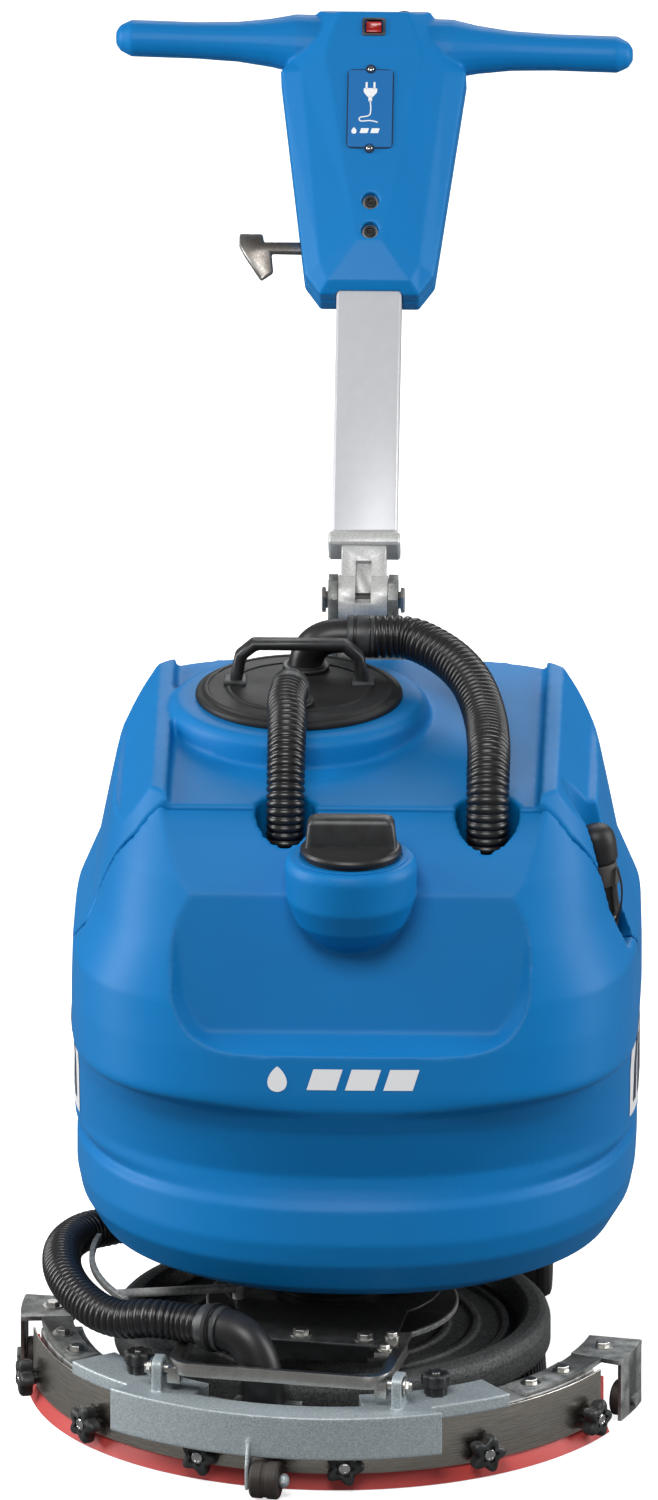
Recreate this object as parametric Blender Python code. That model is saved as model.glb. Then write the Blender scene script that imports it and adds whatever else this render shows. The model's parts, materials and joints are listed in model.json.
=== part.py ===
"""Compact walk-behind floor scrubber-dryer: two blue moulded tanks on a steel chassis, one disc brush,
a curved squeegee that swings round the brush, and a folding handle. All sizes are in millimetres.

+X is the machine's right as seen from the squeegee, +Y runs from the squeegee to the handle, +Z is up.
"""

import math

import bmesh
import bpy
from mathutils import Matrix, Vector

MM = 0.001
GAP = 0.3          # between faces that touch
RUNNING = 0.5      # between a shaft and its bore

# ---- body ----
BODY_HALF_WIDTH = 252
BODY_FRONT = -195
BODY_REAR = 300
BODY_MID_Y = 58    # where the plan outline is widest
SKIRT_Z = 143
LEDGE_Z = 384
PARTING_Z = 387    # seam between the tanks along the flanks
TOP_Z = 572        # top of the tanks at the front seam
TOP_Y = -60
TOP_SLOPE = 0.085
SEAM_Y = -62
SEAM = 1.0
WALL = 8
DECK_Z = 244       # floor of the clean-water tank, over the motor bay
WAIST_Z = LEDGE_Z - 50
ROUND_FRONT, SQUARE_FRONT, SQUARE_REAR = 2.3, 3.4, 4.5   # exponents of the plan outline
RIB_HEIGHT = 11
RIB_INNER = 163
RIB_TOP = 14
CHANNEL_Y = 262    # back of the tanks behind the handle's column
CHANNEL_HALF_WIDTH = 52

# ---- lid and hoses ----
LID_X, LID_Y = -53, 132
COLLAR_Z = TOP_Z + 34
COLLAR_R = 115
LID_R = 92
LID_MOUTH_R = 75
LID_TOP_Z = COLLAR_Z + 10
SUCTION_HOSE_R = 17.3
VACUUM_HOSE_R = 19.3
POCKET_CLEARANCE = 8.8
POCKET_Z = TOP_Z - 67
SUCTION_POCKET_X = -60
VACUUM_POCKET_X = 119
LIFT_HANDLE_SPAN = 124
FLOAT_Z = COLLAR_Z - 63
FLOAT_R = 18
SHORT_CUFF, LONG_CUFF = 12, 26

# ---- filler ----
FILLER_Y = -135
FILLER_R = 57
FILLER_Z = TOP_Z - 19
FILLER_CAP_R = 45
FILLER_NECK_R = 34

# ---- brush ----
BRUSH_X = -20
BRUSH_R = 194
BRISTLE_Z = 45     # trimmed length of the bristles
BRUSH_RIM_Z = 78
HUB_R = 58
DRIVE_PLATE_R = 112
DRIVE_PLATE_Z = 80
MOTOR_R = 70

# ---- wheels ----
WHEEL_R = 80
WHEEL_WIDTH = 40
WHEEL_X = 150
AXLE_Y = 250
AXLE_R = 10

# ---- squeegee, drawn with its middle on -Y of the brush axis, then swung ----
SWING = -10.5
ARC_Y = 15         # centre of the squeegee's arc, behind the brush axis
BAND_R = 268
OUTER_R = BAND_R - 5    # front of the channel, behind the outer blade
INNER_R = BAND_R - 25   # back of the inner blade's slot
REAR_R = BAND_R - 42    # rear edge of the channel
BAND_Z = 62
HALF_SPAN = 72.5
PLATE_Z = 58
PLATE_THICK = 3
KNOB_STEP = 27
KNOB_Z = 25
KNOB_R = 18
WEIGHT_R = BAND_R + 28
WEIGHT_TOP = 76
WEIGHT_FOOT = 36
PIN_Z = 94
PIN_Y = ARC_Y + 25 - BAND_R
THUMB_ANGLE = 33
ARM_Z = 97
ARM_HALF_WIDTH = 84
BOW_REACH = 100    # half the silver bow's width
ROLLER_R = 17
END_ROLLER_R = 16
SQUEEGEE_HOSE_R = 17.5
PORT_R = BAND_R - 36    # suction port of the squeegee, clear of the brush
CUFF_LENGTH = 22

# ---- handle ----
MAST_Y = 290
MAST_Z = 640
MAST_LEAN = 45
TUBE_WIDTH = 58
TUBE_DEPTH = 30
TUBE_LOW = 60
HEAD_LOW = 294
HEAD_HIGH = 574
HEAD_FRONT = -31
HEAD_BACK = 28
GRIP_REACH = 231
GRIP_R = 16.5
GRIP_TILT = 1.6    # the bar leans this much to the right
PIVOT_R = 24
PIN_R = 8

COLOURS = {
    "blue_plastic": ((0.012, 0.19, 0.52), 0.45, 0.0),
    "black_plastic": ((0.012, 0.012, 0.013), 0.4, 0.0),
    "rubber": ((0.02, 0.02, 0.021), 0.75, 0.0),
    "steel": ((0.5, 0.49, 0.47), 0.32, 1.0),
    "galvanised": ((0.46, 0.48, 0.47), 0.5, 0.7),
    "dark_steel": ((0.07, 0.072, 0.07), 0.5, 0.8),
    "painted_tube": ((0.85, 0.85, 0.85), 0.35, 0.0),
    "red_rubber": ((0.6, 0.05, 0.05), 0.6, 0.0),
    "red_plastic": ((0.5, 0.01, 0.01), 0.3, 0.0),
}


# ---------------------------------------------------------------- tools

def clear_scene():
    for obj in list(bpy.data.objects):
        bpy.data.objects.remove(obj)


def finish_of(name):
    found = bpy.data.materials.get(name)
    if found:
        return found
    colour, roughness, metallic = COLOURS[name]
    material = bpy.data.materials.new(name)
    material.use_nodes = True
    shader = material.node_tree.nodes["Principled BSDF"]
    shader.inputs["Base Color"].default_value = (*colour, 1)
    shader.inputs["Roughness"].default_value = roughness
    shader.inputs["Metallic"].default_value = metallic
    material.diffuse_color = (*colour, 1)
    return material


def empty(name, at, parent=None, turn=(0, 0, 0)):
    obj = bpy.data.objects.new(name, None)
    bpy.context.scene.collection.objects.link(obj)
    obj.location = Vector(at) * MM
    obj.rotation_euler = [math.radians(a) for a in turn]
    obj.parent = parent
    return obj


def place(name, bm, parent, at=(0, 0, 0)):
    """Object from a shape drawn in its parent's frame; its origin goes to at."""
    bmesh.ops.recalc_face_normals(bm, faces=bm.faces)
    bmesh.ops.translate(bm, vec=-Vector(at), verts=bm.verts)
    bmesh.ops.scale(bm, vec=(MM, MM, MM), verts=bm.verts)
    mesh = bpy.data.meshes.new(name)
    bm.to_mesh(mesh)
    bm.free()
    obj = bpy.data.objects.new(name, mesh)
    bpy.context.scene.collection.objects.link(obj)
    obj.location = Vector(at) * MM
    obj.parent = parent
    return obj


def part(name, bm, finish, parent, at=(0, 0, 0), sharp=32):
    obj = place(name, bm, parent, at)
    obj.data.materials.append(finish_of(finish))
    obj.data.shade_smooth()
    obj.data.set_sharp_from_angle(angle=math.radians(sharp))
    return obj


def hidden(name, shape, parent):
    """Helper that only cuts or joins."""
    obj = place(name, shape, parent)
    obj.hide_render = True
    obj.display_type = "WIRE"
    return obj


def apply_shape(obj, operation, *shapes):
    """Boolean each shape, drawn in the same frame as the object, into it."""
    for shape in shapes:
        label = f"{obj.name}_{operation.lower()}_{len(obj.modifiers)}"
        modifier = obj.modifiers.new(label, "BOOLEAN")
        modifier.operation = operation
        modifier.object = hidden(label, shape, obj.parent)
        modifier.solver = "EXACT"
    return obj


def cut_together(obj, *shapes):
    """One Boolean that takes all the shapes away; a shape may be a hidden object with its own Booleans."""
    label = f"{obj.name}_openings_{len(obj.modifiers)}"
    group = bpy.data.collections.new(label)
    bpy.context.scene.collection.children.link(group)
    for k, shape in enumerate(shapes):
        cutter = shape if isinstance(shape, bpy.types.Object) else hidden(f"{label}_{k}", shape, obj.parent)
        bpy.context.scene.collection.objects.unlink(cutter)
        group.objects.link(cutter)
    modifier = obj.modifiers.new(label, "BOOLEAN")
    modifier.operand_type = "COLLECTION"
    modifier.collection = group
    modifier.solver = "EXACT"


def cut(obj, *shapes):
    return apply_shape(obj, "DIFFERENCE", *shapes)


def join(obj, *shapes):
    return apply_shape(obj, "UNION", *shapes)


def keep(obj, *shapes):
    return apply_shape(obj, "INTERSECT", *shapes)


def loft(rings):
    """Closed solid through rings of equal length, capped at both ends."""
    bm = bmesh.new()
    loops = [[bm.verts.new(p) for p in ring] for ring in rings]
    for low, high in zip(loops, loops[1:]):
        for i in range(len(low)):
            j = (i + 1) % len(low)
            bm.faces.new((low[i], low[j], high[j], high[i]))
    bm.faces.new(loops[0][::-1])
    bm.faces.new(loops[-1])
    return bm


def prism(outline, low, high, axis="Z"):
    """Outline extruded along an axis. The outline is (x, y), (x, z) or (y, z)."""
    place_at = {
        "Z": lambda a, b, c: (a, b, c),
        "Y": lambda a, b, c: (a, c, b),
        "X": lambda a, b, c: (c, a, b),
    }[axis]
    return loft([[place_at(a, b, level) for a, b in outline] for level in (low, high)])


def box(x, y, z, bevel=0.0):
    bm = prism([(x[0], y[0]), (x[1], y[0]), (x[1], y[1]), (x[0], y[1])], *z)
    if bevel:
        bmesh.ops.bevel(bm, geom=bm.edges[:], offset=bevel, segments=1, affect="EDGES")
    return bm


def turned(profile, segments=32, closed=False):
    """Profile of (radius, height) points turned about Z; closed makes a ring."""
    bm = bmesh.new()
    loops = []
    for radius, height in profile:
        if radius == 0:
            loops.append([bm.verts.new((0, 0, height))])
            continue
        angles = [math.tau * k / segments for k in range(segments)]
        loops.append([
            bm.verts.new((radius * math.cos(a), radius * math.sin(a), height)) for a in angles
        ])
    pairs = list(zip(loops, loops[1:]))
    if closed:
        pairs.append((loops[-1], loops[0]))
    for low, high in pairs:
        for i in range(segments):
            j = (i + 1) % segments
            corners = [low[i % len(low)], low[j % len(low)], high[j % len(high)], high[i % len(high)]]
            bm.faces.new(list(dict.fromkeys(corners)))
    return bm


def rod(radius, low, high, segments=24):
    return turned([(0, low), (radius, low), (radius, high), (0, high)], segments)


def moved(bm, at=(0, 0, 0), turn=None):
    """Shape turned (axis, degrees) and then moved."""
    if turn:
        matrix = Matrix.Rotation(math.radians(turn[1]), 4, turn[0])
        bmesh.ops.transform(bm, matrix=matrix, verts=bm.verts)
    bmesh.ops.translate(bm, vec=Vector(at), verts=bm.verts)
    return bm


def between(radius, start, end, segments=24):
    """Round bar from one point to another."""
    start, end = Vector(start), Vector(end)
    run = end - start
    bm = rod(radius, 0, run.length, segments)
    matrix = Matrix.Translation(start) @ run.to_track_quat("Z", "Y").to_matrix().to_4x4()
    bmesh.ops.transform(bm, matrix=matrix, verts=bm.verts)
    return bm


def on_arc(angle, radius, z=0.0):
    """Point at an angle from -Y towards +X about the squeegee's arc centre."""
    a = math.radians(angle)
    return Vector((radius * math.sin(a), ARC_Y - radius * math.cos(a), z))


def arc_bar(section, start, end, step=6):
    """Section of (radius, height) points swept round the squeegee's arc."""
    count = max(2, round(abs(end - start) / step))
    angles = [start + (end - start) * k / count for k in range(count + 1)]
    return loft([[on_arc(a, r, z) for r, z in section] for a in angles])


def ring_section(r, z):
    return [(r[0], z[0]), (r[1], z[0]), (r[1], z[1]), (r[0], z[1])]


def smooth_route(points, spacing):
    """Points every so often along a Catmull-Rom curve through the given points."""
    points = [Vector(p) for p in points]
    points = [2 * points[0] - points[1], *points, 2 * points[-1] - points[-2]]
    fine = []
    for a, b, c, d in zip(points, points[1:], points[2:], points[3:]):
        for k in range(12):
            t = k / 12
            fine.append(0.5 * (2 * b + (c - a) * t + (2 * a - 5 * b + 4 * c - d) * t * t
                               + (3 * b - a - 3 * c + d) * t ** 3))
    fine.append(points[-2])
    runs = [(q - p).length for p, q in zip(fine, fine[1:])]
    count = max(2, round(sum(runs) / spacing))
    route, walked, k = [fine[0]], 0.0, 0
    for n in range(1, count):
        target = sum(runs) * n / count
        while walked + runs[k] < target:
            walked += runs[k]
            k += 1
        route.append(fine[k].lerp(fine[k + 1], (target - walked) / runs[k]))
    return route + [fine[-1]]


def hose(name, points, radius, finish, parent):
    """Plain tube with closed ends along a smooth route."""
    curve = bpy.data.curves.new(name, "CURVE")
    curve.dimensions = "3D"
    curve.bevel_depth = radius * MM
    curve.bevel_resolution = 3
    curve.use_fill_caps = True
    route = smooth_route(points, radius * 1.3)
    spline = curve.splines.new("POLY")
    spline.points.add(len(route) - 1)
    for point, at in zip(spline.points, route):
        point.co = (*(at * MM), 1)
    obj = bpy.data.objects.new(name, curve)
    bpy.context.scene.collection.objects.link(obj)
    obj.data.materials.append(finish_of(finish))
    obj.parent = parent
    return obj


def elbow(start, corner, end, radius, cuff, cuff_length):
    """Pipe bend: a tube through three points with a wider cuff over its far end."""
    start, corner, end = Vector(start), Vector(corner), Vector(end)
    steps = 6
    rings = []
    for k in range(steps + 1):
        t = k / steps
        point = (1 - t) ** 2 * start + 2 * t * (1 - t) * corner + t * t * end
        run = (1 - t) * (corner - start) + t * (end - corner)
        rings.append(ring_round(point, run, radius))
    way = (end - corner).normalized()
    rings.append(ring_round(end + way * 0.6, way, cuff))
    rings.append(ring_round(end + way * cuff_length, way, cuff))
    return loft(rings)


def ring_round(centre, run, radius, segments=16):
    side = run.cross(Vector((0.3, 1, 0.2))).normalized()
    up = side.cross(run).normalized()
    angles = [math.tau * k / segments for k in range(segments)]
    return [centre + radius * (side * math.cos(a) + up * math.sin(a)) for a in angles]


# ---------------------------------------------------------------- body

def top_z(y):
    return TOP_Z + TOP_SLOPE * (y - TOP_Y)


def over_ledge(share):
    """Height above the ledge, as a share of the way up to the tank tops."""
    return LEDGE_Z + share * (TOP_Z - LEDGE_Z)


def hull_levels():
    """Height, then how far the skin sits inside the widest side, front and rear."""
    return (
        (SKIRT_Z, 56, 49, 18),
        (SKIRT_Z + 15, 24, 21, 8),
        (SKIRT_Z + 42, 8, 6, 3),
        (SKIRT_Z + 62, 4, 4, 0),
        (SKIRT_Z + 92, 4, 12, 0),
        (SKIRT_Z + 98, 10, 17, 5),
        (SKIRT_Z + 108, 2, 22, 0),
        (SKIRT_Z + 119, 2, 25, 0),
        (LEDGE_Z - 78, 2, 14, 0),
        (LEDGE_Z - 50, 1, 0, 0),
        (LEDGE_Z - 36, 0, 2, 0),
        (LEDGE_Z, 0, 11, 0),
        (over_ledge(38 / 188), 1, 23, 4),
        (over_ledge(84 / 188), 20, 39, 14),
        (over_ledge(136 / 188), 30, 67, 24),
        (over_ledge(166 / 188), 36, 89, 30),
        (over_ledge(201 / 188), 44, 117, 42),
        (over_ledge(222 / 188), 49, 133, 52),
        (over_ledge(270 / 188), 54, 140, 66),
    )


def hull_ring(z, half_width, front, rear, points=40):
    """Plan outline: squarer towards the rear; its front is round below the waist and squarer above it."""
    front_fullness = ROUND_FRONT if z < WAIST_Z else SQUARE_FRONT
    ring = []
    for k in range(points):
        a = math.tau * (k + 0.5) / points
        c, s = math.cos(a), math.sin(a)
        power = 2 / front_fullness if s < 0 else 2 / SQUARE_REAR
        depth = BODY_MID_Y - front if s < 0 else rear - BODY_MID_Y
        x = half_width * math.copysign(abs(c) ** power, c)
        y = BODY_MID_Y + depth * math.copysign(abs(s) ** power, s)
        ring.append((x, y, z))
    return ring


def hull():
    return loft([
        hull_ring(z, BODY_HALF_WIDTH - side, BODY_FRONT + front, BODY_REAR - rear)
        for z, side, front, rear in hull_levels()
    ])


def cavity(levels, rear):
    """Smaller hull for the inside of a tank: height, side inset, front place."""
    return loft([
        hull_ring(z, BODY_HALF_WIDTH - side, front, rear, points=24)
        for z, side, front in levels
    ])


def above_top():
    """What is over the tank tops: a flat field between two ribs with chamfered backs."""
    shoulder = RIB_INNER + 3
    half = [(RIB_INNER, 0), (shoulder, RIB_HEIGHT), (shoulder + RIB_TOP, RIB_HEIGHT),
            (BODY_HALF_WIDTH - 46, -25), (BODY_HALF_WIDTH + 70, -25), (BODY_HALF_WIDTH + 70, 300)]
    outline = half + [(-x, h) for x, h in reversed(half)]
    return loft([[(x, y, h + top_z(y)) for x, h in outline] for y in (-400, 400)])


def seam_line(shift=0.0):
    """The seam between the tanks, seen from the side; shift moves it up and back."""
    steps = [(SEAM_Y, 900), (SEAM_Y, TOP_Z - 27), (SEAM_Y + 40, LEDGE_Z + 88),
             (SEAM_Y + 40, LEDGE_Z + 62), (BODY_MID_Y, PARTING_Z), (500, PARTING_Z)]
    return [(y + shift, z + shift) for y, z in steps]


def behind_seam(shift=0.0):
    line = seam_line(shift)
    return prism([*line, (500, 900 + shift)], -400, 400, axis="X")


def front_of_seam(shift=0.0):
    line = seam_line(shift)
    return prism([*line, (500, -50), (-400, -50), (-400, 900 + shift)], -400, 400, axis="X")


def rear_channel():
    """Groove down the back of the tanks for the handle's column."""
    return box((-CHANNEL_HALF_WIDTH, CHANNEL_HALF_WIDTH), (CHANNEL_Y, 400), (DECK_Z - 68, 800))


def wheel_arch():
    """Opening across the back of the skirt, round both rear wheels."""
    outer = WHEEL_X + WHEEL_WIDTH / 2 + 8
    reach = WHEEL_R + 8
    arch = [(AXLE_Y - reach, SKIRT_Z - 30)]
    for k in range(1, 10):
        a = math.pi * k / 10
        arch.append((AXLE_Y - reach * math.cos(a), WHEEL_R + 14 + reach * math.sin(a)))
    arch.append((AXLE_Y + reach, SKIRT_Z - 30))
    return prism(arch, -outer, outer, axis="X")


def front_recess():
    """The U-shaped panel pressed into the front, above the ledge."""
    floor_line = [(-150, LEDGE_Z - 11), (-140, TOP_Z - 122), (-120, TOP_Z - 62), (-10, TOP_Z + 52),
                  (-10, 800), (-400, 800), (-400, LEDGE_Z + 70)]
    corner, half_low, half_high, low = 52, 150, RIB_INNER + 2, LEDGE_Z - 14
    outline = [(half_high, 800), (half_low + 2, TOP_Z - 52)]
    for k in range(6):
        a = math.radians(18 * k)
        outline.append((half_low - corner + corner * math.cos(a), low + corner - corner * math.sin(a)))
    outline += [(-x, z) for x, z in reversed(outline)]
    return prism(floor_line, -300, 300, axis="X"), prism(outline, -420, 0, axis="Y")


def filler_spout():
    """Cup that carries the filler, fading into the recess below it."""
    stages = ((FILLER_Z, FILLER_R, 0), (FILLER_Z - 8, FILLER_R + 2, 0), (FILLER_Z - 38, FILLER_R, 0),
              (FILLER_Z - 62, FILLER_R - 9, 4), (FILLER_Z - 82, FILLER_R - 27, 14),
              (FILLER_Z - 96, FILLER_R - 47, 24))
    return loft([
        [(r * math.cos(a), FILLER_Y + back + r * math.sin(a), z)
         for a in (math.tau * k / 28 for k in range(28))]
        for z, r, back in stages
    ])


def drain_groove():
    return between(25, (228, -12, 428), (208, -12, 585), 20)


def hose_pockets():
    return [moved(rod(radius + POCKET_CLEARANCE, POCKET_Z, 800, 24), (x, SEAM_Y, 0))
            for x, radius in ((SUCTION_POCKET_X, SUCTION_HOSE_R), (VACUUM_POCKET_X, VACUUM_HOSE_R))]


def solution_tank(root):
    tank = part("solution_tank", hull(), "blue_plastic", root, sharp=28)
    floor_line, outline = front_recess()
    recess = keep(hidden("front_recess", floor_line, root), outline)
    cut_together(tank, above_top(), behind_seam(), recess)
    join(tank, filler_spout())
    water = hidden("clean_water", cavity(
        ((DECK_Z + WALL, 14, -152), (LEDGE_Z - 30, 12, -140), (TOP_Z - 122, 30, -124),
         (POCKET_Z - WALL, 46, -104)),
        CHANNEL_Y - WALL), root)
    keep(water, front_of_seam(-WALL))
    skirt_space = cavity(
        ((SKIRT_Z - 20, 74, BODY_FRONT + 66), (SKIRT_Z + 22, 32, BODY_FRONT + 34),
         (DECK_Z, 18, BODY_FRONT + 34)), BODY_REAR - 20)
    cut_together(
        tank,
        water,
        skirt_space,
        rear_channel(),
        wheel_arch(),
        moved(rod(FILLER_NECK_R, FILLER_Z - 40, 800), (0, FILLER_Y, 0)),
        between(FILLER_NECK_R - 4, (0, FILLER_Y - 2, FILLER_Z - 22), (0, FILLER_Y + 55, 430)),
        *hose_pockets(),
        drain_groove(),
    )


def recovery_tank(root):
    tank = part("recovery_tank", hull(), "blue_plastic", root, sharp=28)
    cut_together(tank, above_top(), front_of_seam(SEAM))
    foot = TOP_Z - 52
    join(tank, moved(turned([(0, foot), (COLLAR_R, foot), (COLLAR_R, COLLAR_Z - 8),
                             (COLLAR_R - 7, COLLAR_Z), (0, COLLAR_Z)], 36), (LID_X, LID_Y, 0)))
    dirty = hidden("dirty_water", cavity(
        ((PARTING_Z + WALL, 14, -12), (TOP_Z - 132, 26, -24), (TOP_Z - 32, 50, -24), (TOP_Z - 7, 68, -24),
         (TOP_Z + 28, 78, -24), (TOP_Z + 68, 84, -24)),
        CHANNEL_Y - WALL), root)
    keep(dirty, behind_seam(WALL + 14))
    cut(dirty, loft([[(x, y, top_z(y) - WALL + h) for x, h in
                      ((-400, 0), (400, 0), (400, 400), (-400, 400))] for y in (-400, 400)]))
    cut_together(
        tank,
        dirty,
        moved(rod(LID_MOUTH_R, TOP_Z - 12, 800, 32), (LID_X, LID_Y, 0)),
        rear_channel(),
        *hose_pockets(),
        drain_groove(),
    )


def lid_set(root):
    """Lid with its float tube, lifting handle and two hose elbows."""
    at = (LID_X, LID_Y, COLLAR_Z)
    top = LID_TOP_Z
    low = COLLAR_Z + GAP
    profile = [(0, top), (70, top), (72, top - 1.5), (84, top - 1.5), (LID_R - 4, top - 3), (LID_R, top - 6),
               (LID_R, low), (LID_MOUTH_R - 2, low), (LID_MOUTH_R - 2, low - 9), (LID_MOUTH_R - 5, low - 9),
               (LID_MOUTH_R - 5, low - 2), (27, low - 2), (27, FLOAT_Z - 3), (10, FLOAT_Z - 3),
               (10, FLOAT_Z), (24, FLOAT_Z), (24, low - 1), (0, low - 1)]
    lid = part("tank_lid", moved(turned(profile, 28), (LID_X, LID_Y, 0)), "black_plastic", root, at)
    suction, vacuum = suction_bend(), vacuum_bend()
    for bend in (suction, vacuum):
        cut(lid, moved(rod(13, FLOAT_Z, top + 84, 16), (*bend[0].xy, 0)))

    half = LIFT_HANDLE_SPAN / 2
    foot = top + GAP
    outer = [(half, foot), (half - 5, foot + 26), (half - 20, foot + 39)]
    inner = [(half - 11, foot), (half - 15, foot + 22), (half - 25, foot + 30)]
    outline = outer + [(-x, z) for x, z in reversed(outer)] + [(-x, z) for x, z in inner]
    outline += list(reversed(inner))
    handle = moved(prism([(x + LID_X, z) for x, z in outline], LID_Y + 4, LID_Y + 19, axis="Y"))
    part("lid_handle", handle, "black_plastic", root, at)

    front = elbow(*suction, SUCTION_HOSE_R - 3, SUCTION_HOSE_R, SHORT_CUFF)
    part("front_elbow", front, "black_plastic", root, at)
    rear = elbow(*vacuum, SUCTION_HOSE_R - 2, VACUUM_HOSE_R - 1, LONG_CUFF)
    part("rear_elbow", rear, "black_plastic", root, at)
    ball_z = FLOAT_Z + GAP + FLOAT_R
    ball = [(FLOAT_R * math.sin(math.radians(a)), ball_z - FLOAT_R * math.cos(math.radians(a)))
            for a in range(0, 181, 20)]
    ball[0], ball[-1] = (0, ball_z - FLOAT_R), (0, ball_z + FLOAT_R)
    ball = moved(turned(ball, 16), (LID_X, LID_Y, 0))
    part("float_ball", ball, "red_plastic", root, (LID_X, LID_Y, ball_z))


def suction_bend():
    """Foot, corner and far end of the elbow that takes the suction hose into the lid."""
    foot = Vector((LID_X - 5, LID_Y - 45, LID_TOP_Z + GAP))
    return foot, foot + Vector((0, 0, 21)), foot + Vector((-1, -13, 20))


def vacuum_bend():
    """Foot, corner and far end of the elbow that takes the vacuum hose out of the lid."""
    foot = Vector((LID_X + 5, LID_Y + 47, LID_TOP_Z + GAP))
    return foot, foot + Vector((0, 0, 31)), foot + Vector((36, 0, 30))


def hose_start(corner, end, cuff_length, radius):
    """First two points of a hose that leaves an elbow's cuff."""
    way = (end - corner).normalized()
    mouth = end + way * cuff_length
    return [mouth + way, mouth + way * (1 + 1.4 * radius)]


def over_collar(*points):
    """Points of a route whose heights are measured from the top of the lid's collar."""
    return [(x, y, COLLAR_Z + up) for x, y, up in points]


def tank_hoses(root):
    """The suction hose and the vacuum hose between the lid and the two pockets."""
    hose("suction_hose",
         [*hose_start(*suction_bend()[1:], SHORT_CUFF, SUCTION_HOSE_R),
          *over_collar((-60, 14, 24), (-60, -11, 15), (-60, -32, 1), (-60, -47, -15), (-60, -57, -35),
                       (-60, -61, -58)),
          (SUCTION_POCKET_X, SEAM_Y, POCKET_Z + 12)],
         SUCTION_HOSE_R, "rubber", root)
    hose("vacuum_hose",
         [*hose_start(*vacuum_bend()[1:], LONG_CUFF, VACUUM_HOSE_R),
          *over_collar((61, 167, 36), (82, 146, 30), (98, 118, 23), (108, 88, 15), (115, 50, 7), (118, 10, 4),
                       (VACUUM_POCKET_X, -18, 1), (VACUUM_POCKET_X, -39, -9), (VACUUM_POCKET_X, -56, -27),
                       (VACUUM_POCKET_X, -62, -54)),
          (VACUUM_POCKET_X, SEAM_Y, POCKET_Z + 14)],
         VACUUM_HOSE_R, "rubber", root)


def filler(root):
    """Screw cap with a wing grip, on its sealing ring."""
    at = (0, FILLER_Y, FILLER_Z)
    seal_top = FILLER_Z + 3
    ring = [(FILLER_NECK_R + 1, FILLER_Z + GAP), (FILLER_CAP_R - 3, FILLER_Z + GAP),
            (FILLER_CAP_R - 3, seal_top), (FILLER_NECK_R + 1, seal_top)]
    part("filler_gasket", moved(turned(ring, 28, closed=True), (0, FILLER_Y, 0)), "rubber", root, at)
    low = seal_top + GAP
    profile = [(0, low - 16), (FILLER_NECK_R - 3, low - 16), (FILLER_NECK_R - 3, low), (FILLER_CAP_R, low),
               (FILLER_CAP_R, low + 5), (FILLER_CAP_R - 3, low + 8), (0, low + 8)]
    cap = part("filler_cap", moved(turned(profile, 28), (0, FILLER_Y, 0)), "black_plastic", root, at)
    half = FILLER_CAP_R - 5
    wing = [(-half, low + 4), (half, low + 4), (half, low + 28), (half - 7, low + 34), (-half + 7, low + 34),
            (-half, low + 28)]
    join(cap, prism(wing, FILLER_Y - 12, FILLER_Y + 12, axis="Y"))


def drain(root):
    """Drain hose that stands in the groove on the right flank, and its plug."""
    foot, head = Vector((226, -12, 434)), Vector((217, -12, 505))
    part("drain_hose", between(13, foot, head, 20), "rubber", root, foot)
    way = (head - foot).normalized()
    low = head + way * GAP
    cap = part("drain_plug", between(17, low, low + way * 34, 20), "black_plastic", root, low)
    cap.modifiers.new("edge", "BEVEL").width = 0.003


# ---------------------------------------------------------------- chassis

def chassis(root):
    plate_z = (DECK_Z - 7, DECK_Z - GAP)
    frame = part("chassis_frame", box((-165, 165), (-85, 210), plate_z, 1), "dark_steel", root)
    legs = [box((x - 3, x + 3), (205, AXLE_Y + 17), (WHEEL_R - 20, DECK_Z - 2)) for x in (-112, 112)]
    tail = box((-115, 115), (205, AXLE_Y + 12), (DECK_Z - 14, DECK_Z - 1))
    join(frame, tail, *legs)
    bore = between(AXLE_R + RUNNING, (-200, AXLE_Y, WHEEL_R), (200, AXLE_Y, WHEEL_R))
    cut(frame, bore)
    axle_end = WHEEL_X + WHEEL_WIDTH / 2 + 4
    part("rear_axle", between(AXLE_R, (-axle_end, AXLE_Y, WHEEL_R), (axle_end, AXLE_Y, WHEEL_R), 20),
         "steel", root, (0, AXLE_Y, WHEEL_R))
    for side, sign in (("left", -1), ("right", 1)):
        wheel(root, side, sign * WHEEL_X)

    motor_low = ARM_Z + 12
    profile = [(0, motor_low), (MOTOR_R - 6, motor_low), (MOTOR_R, motor_low + 6),
               (MOTOR_R, plate_z[0] - 6 - GAP), (MOTOR_R - 6, plate_z[0] - GAP), (0, plate_z[0] - GAP)]
    motor = part("brush_motor", moved(turned(profile, 28), (BRUSH_X, 0, 0)), "dark_steel", root)
    neck = rod(HUB_R - 8, DRIVE_PLATE_Z + 5 + GAP, motor_low + 5, 24)
    join(motor, moved(neck, (BRUSH_X, 0, 0)))
    part("drive_plate", moved(turned(
        [(0, DRIVE_PLATE_Z), (DRIVE_PLATE_R, DRIVE_PLATE_Z), (DRIVE_PLATE_R, DRIVE_PLATE_Z + 5),
         (0, DRIVE_PLATE_Z + 5)], 36), (BRUSH_X, 0, 0)), "dark_steel", root)

    fan_top = plate_z[0] - GAP
    profile = [(0, 142), (34, 142), (34, 168), (52, 172), (52, fan_top - 12), (46, fan_top), (0, fan_top)]
    part("vacuum_motor", moved(turned(profile, 28), (66, 112, 0)), "black_plastic", root)
    valve = part("solution_valve", box((-138, -100), (-6, 26), (196, fan_top), 2), "black_plastic", root)
    join(valve, between(8, (-101, 10, 212), (-94, 10, 212), 12))


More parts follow.
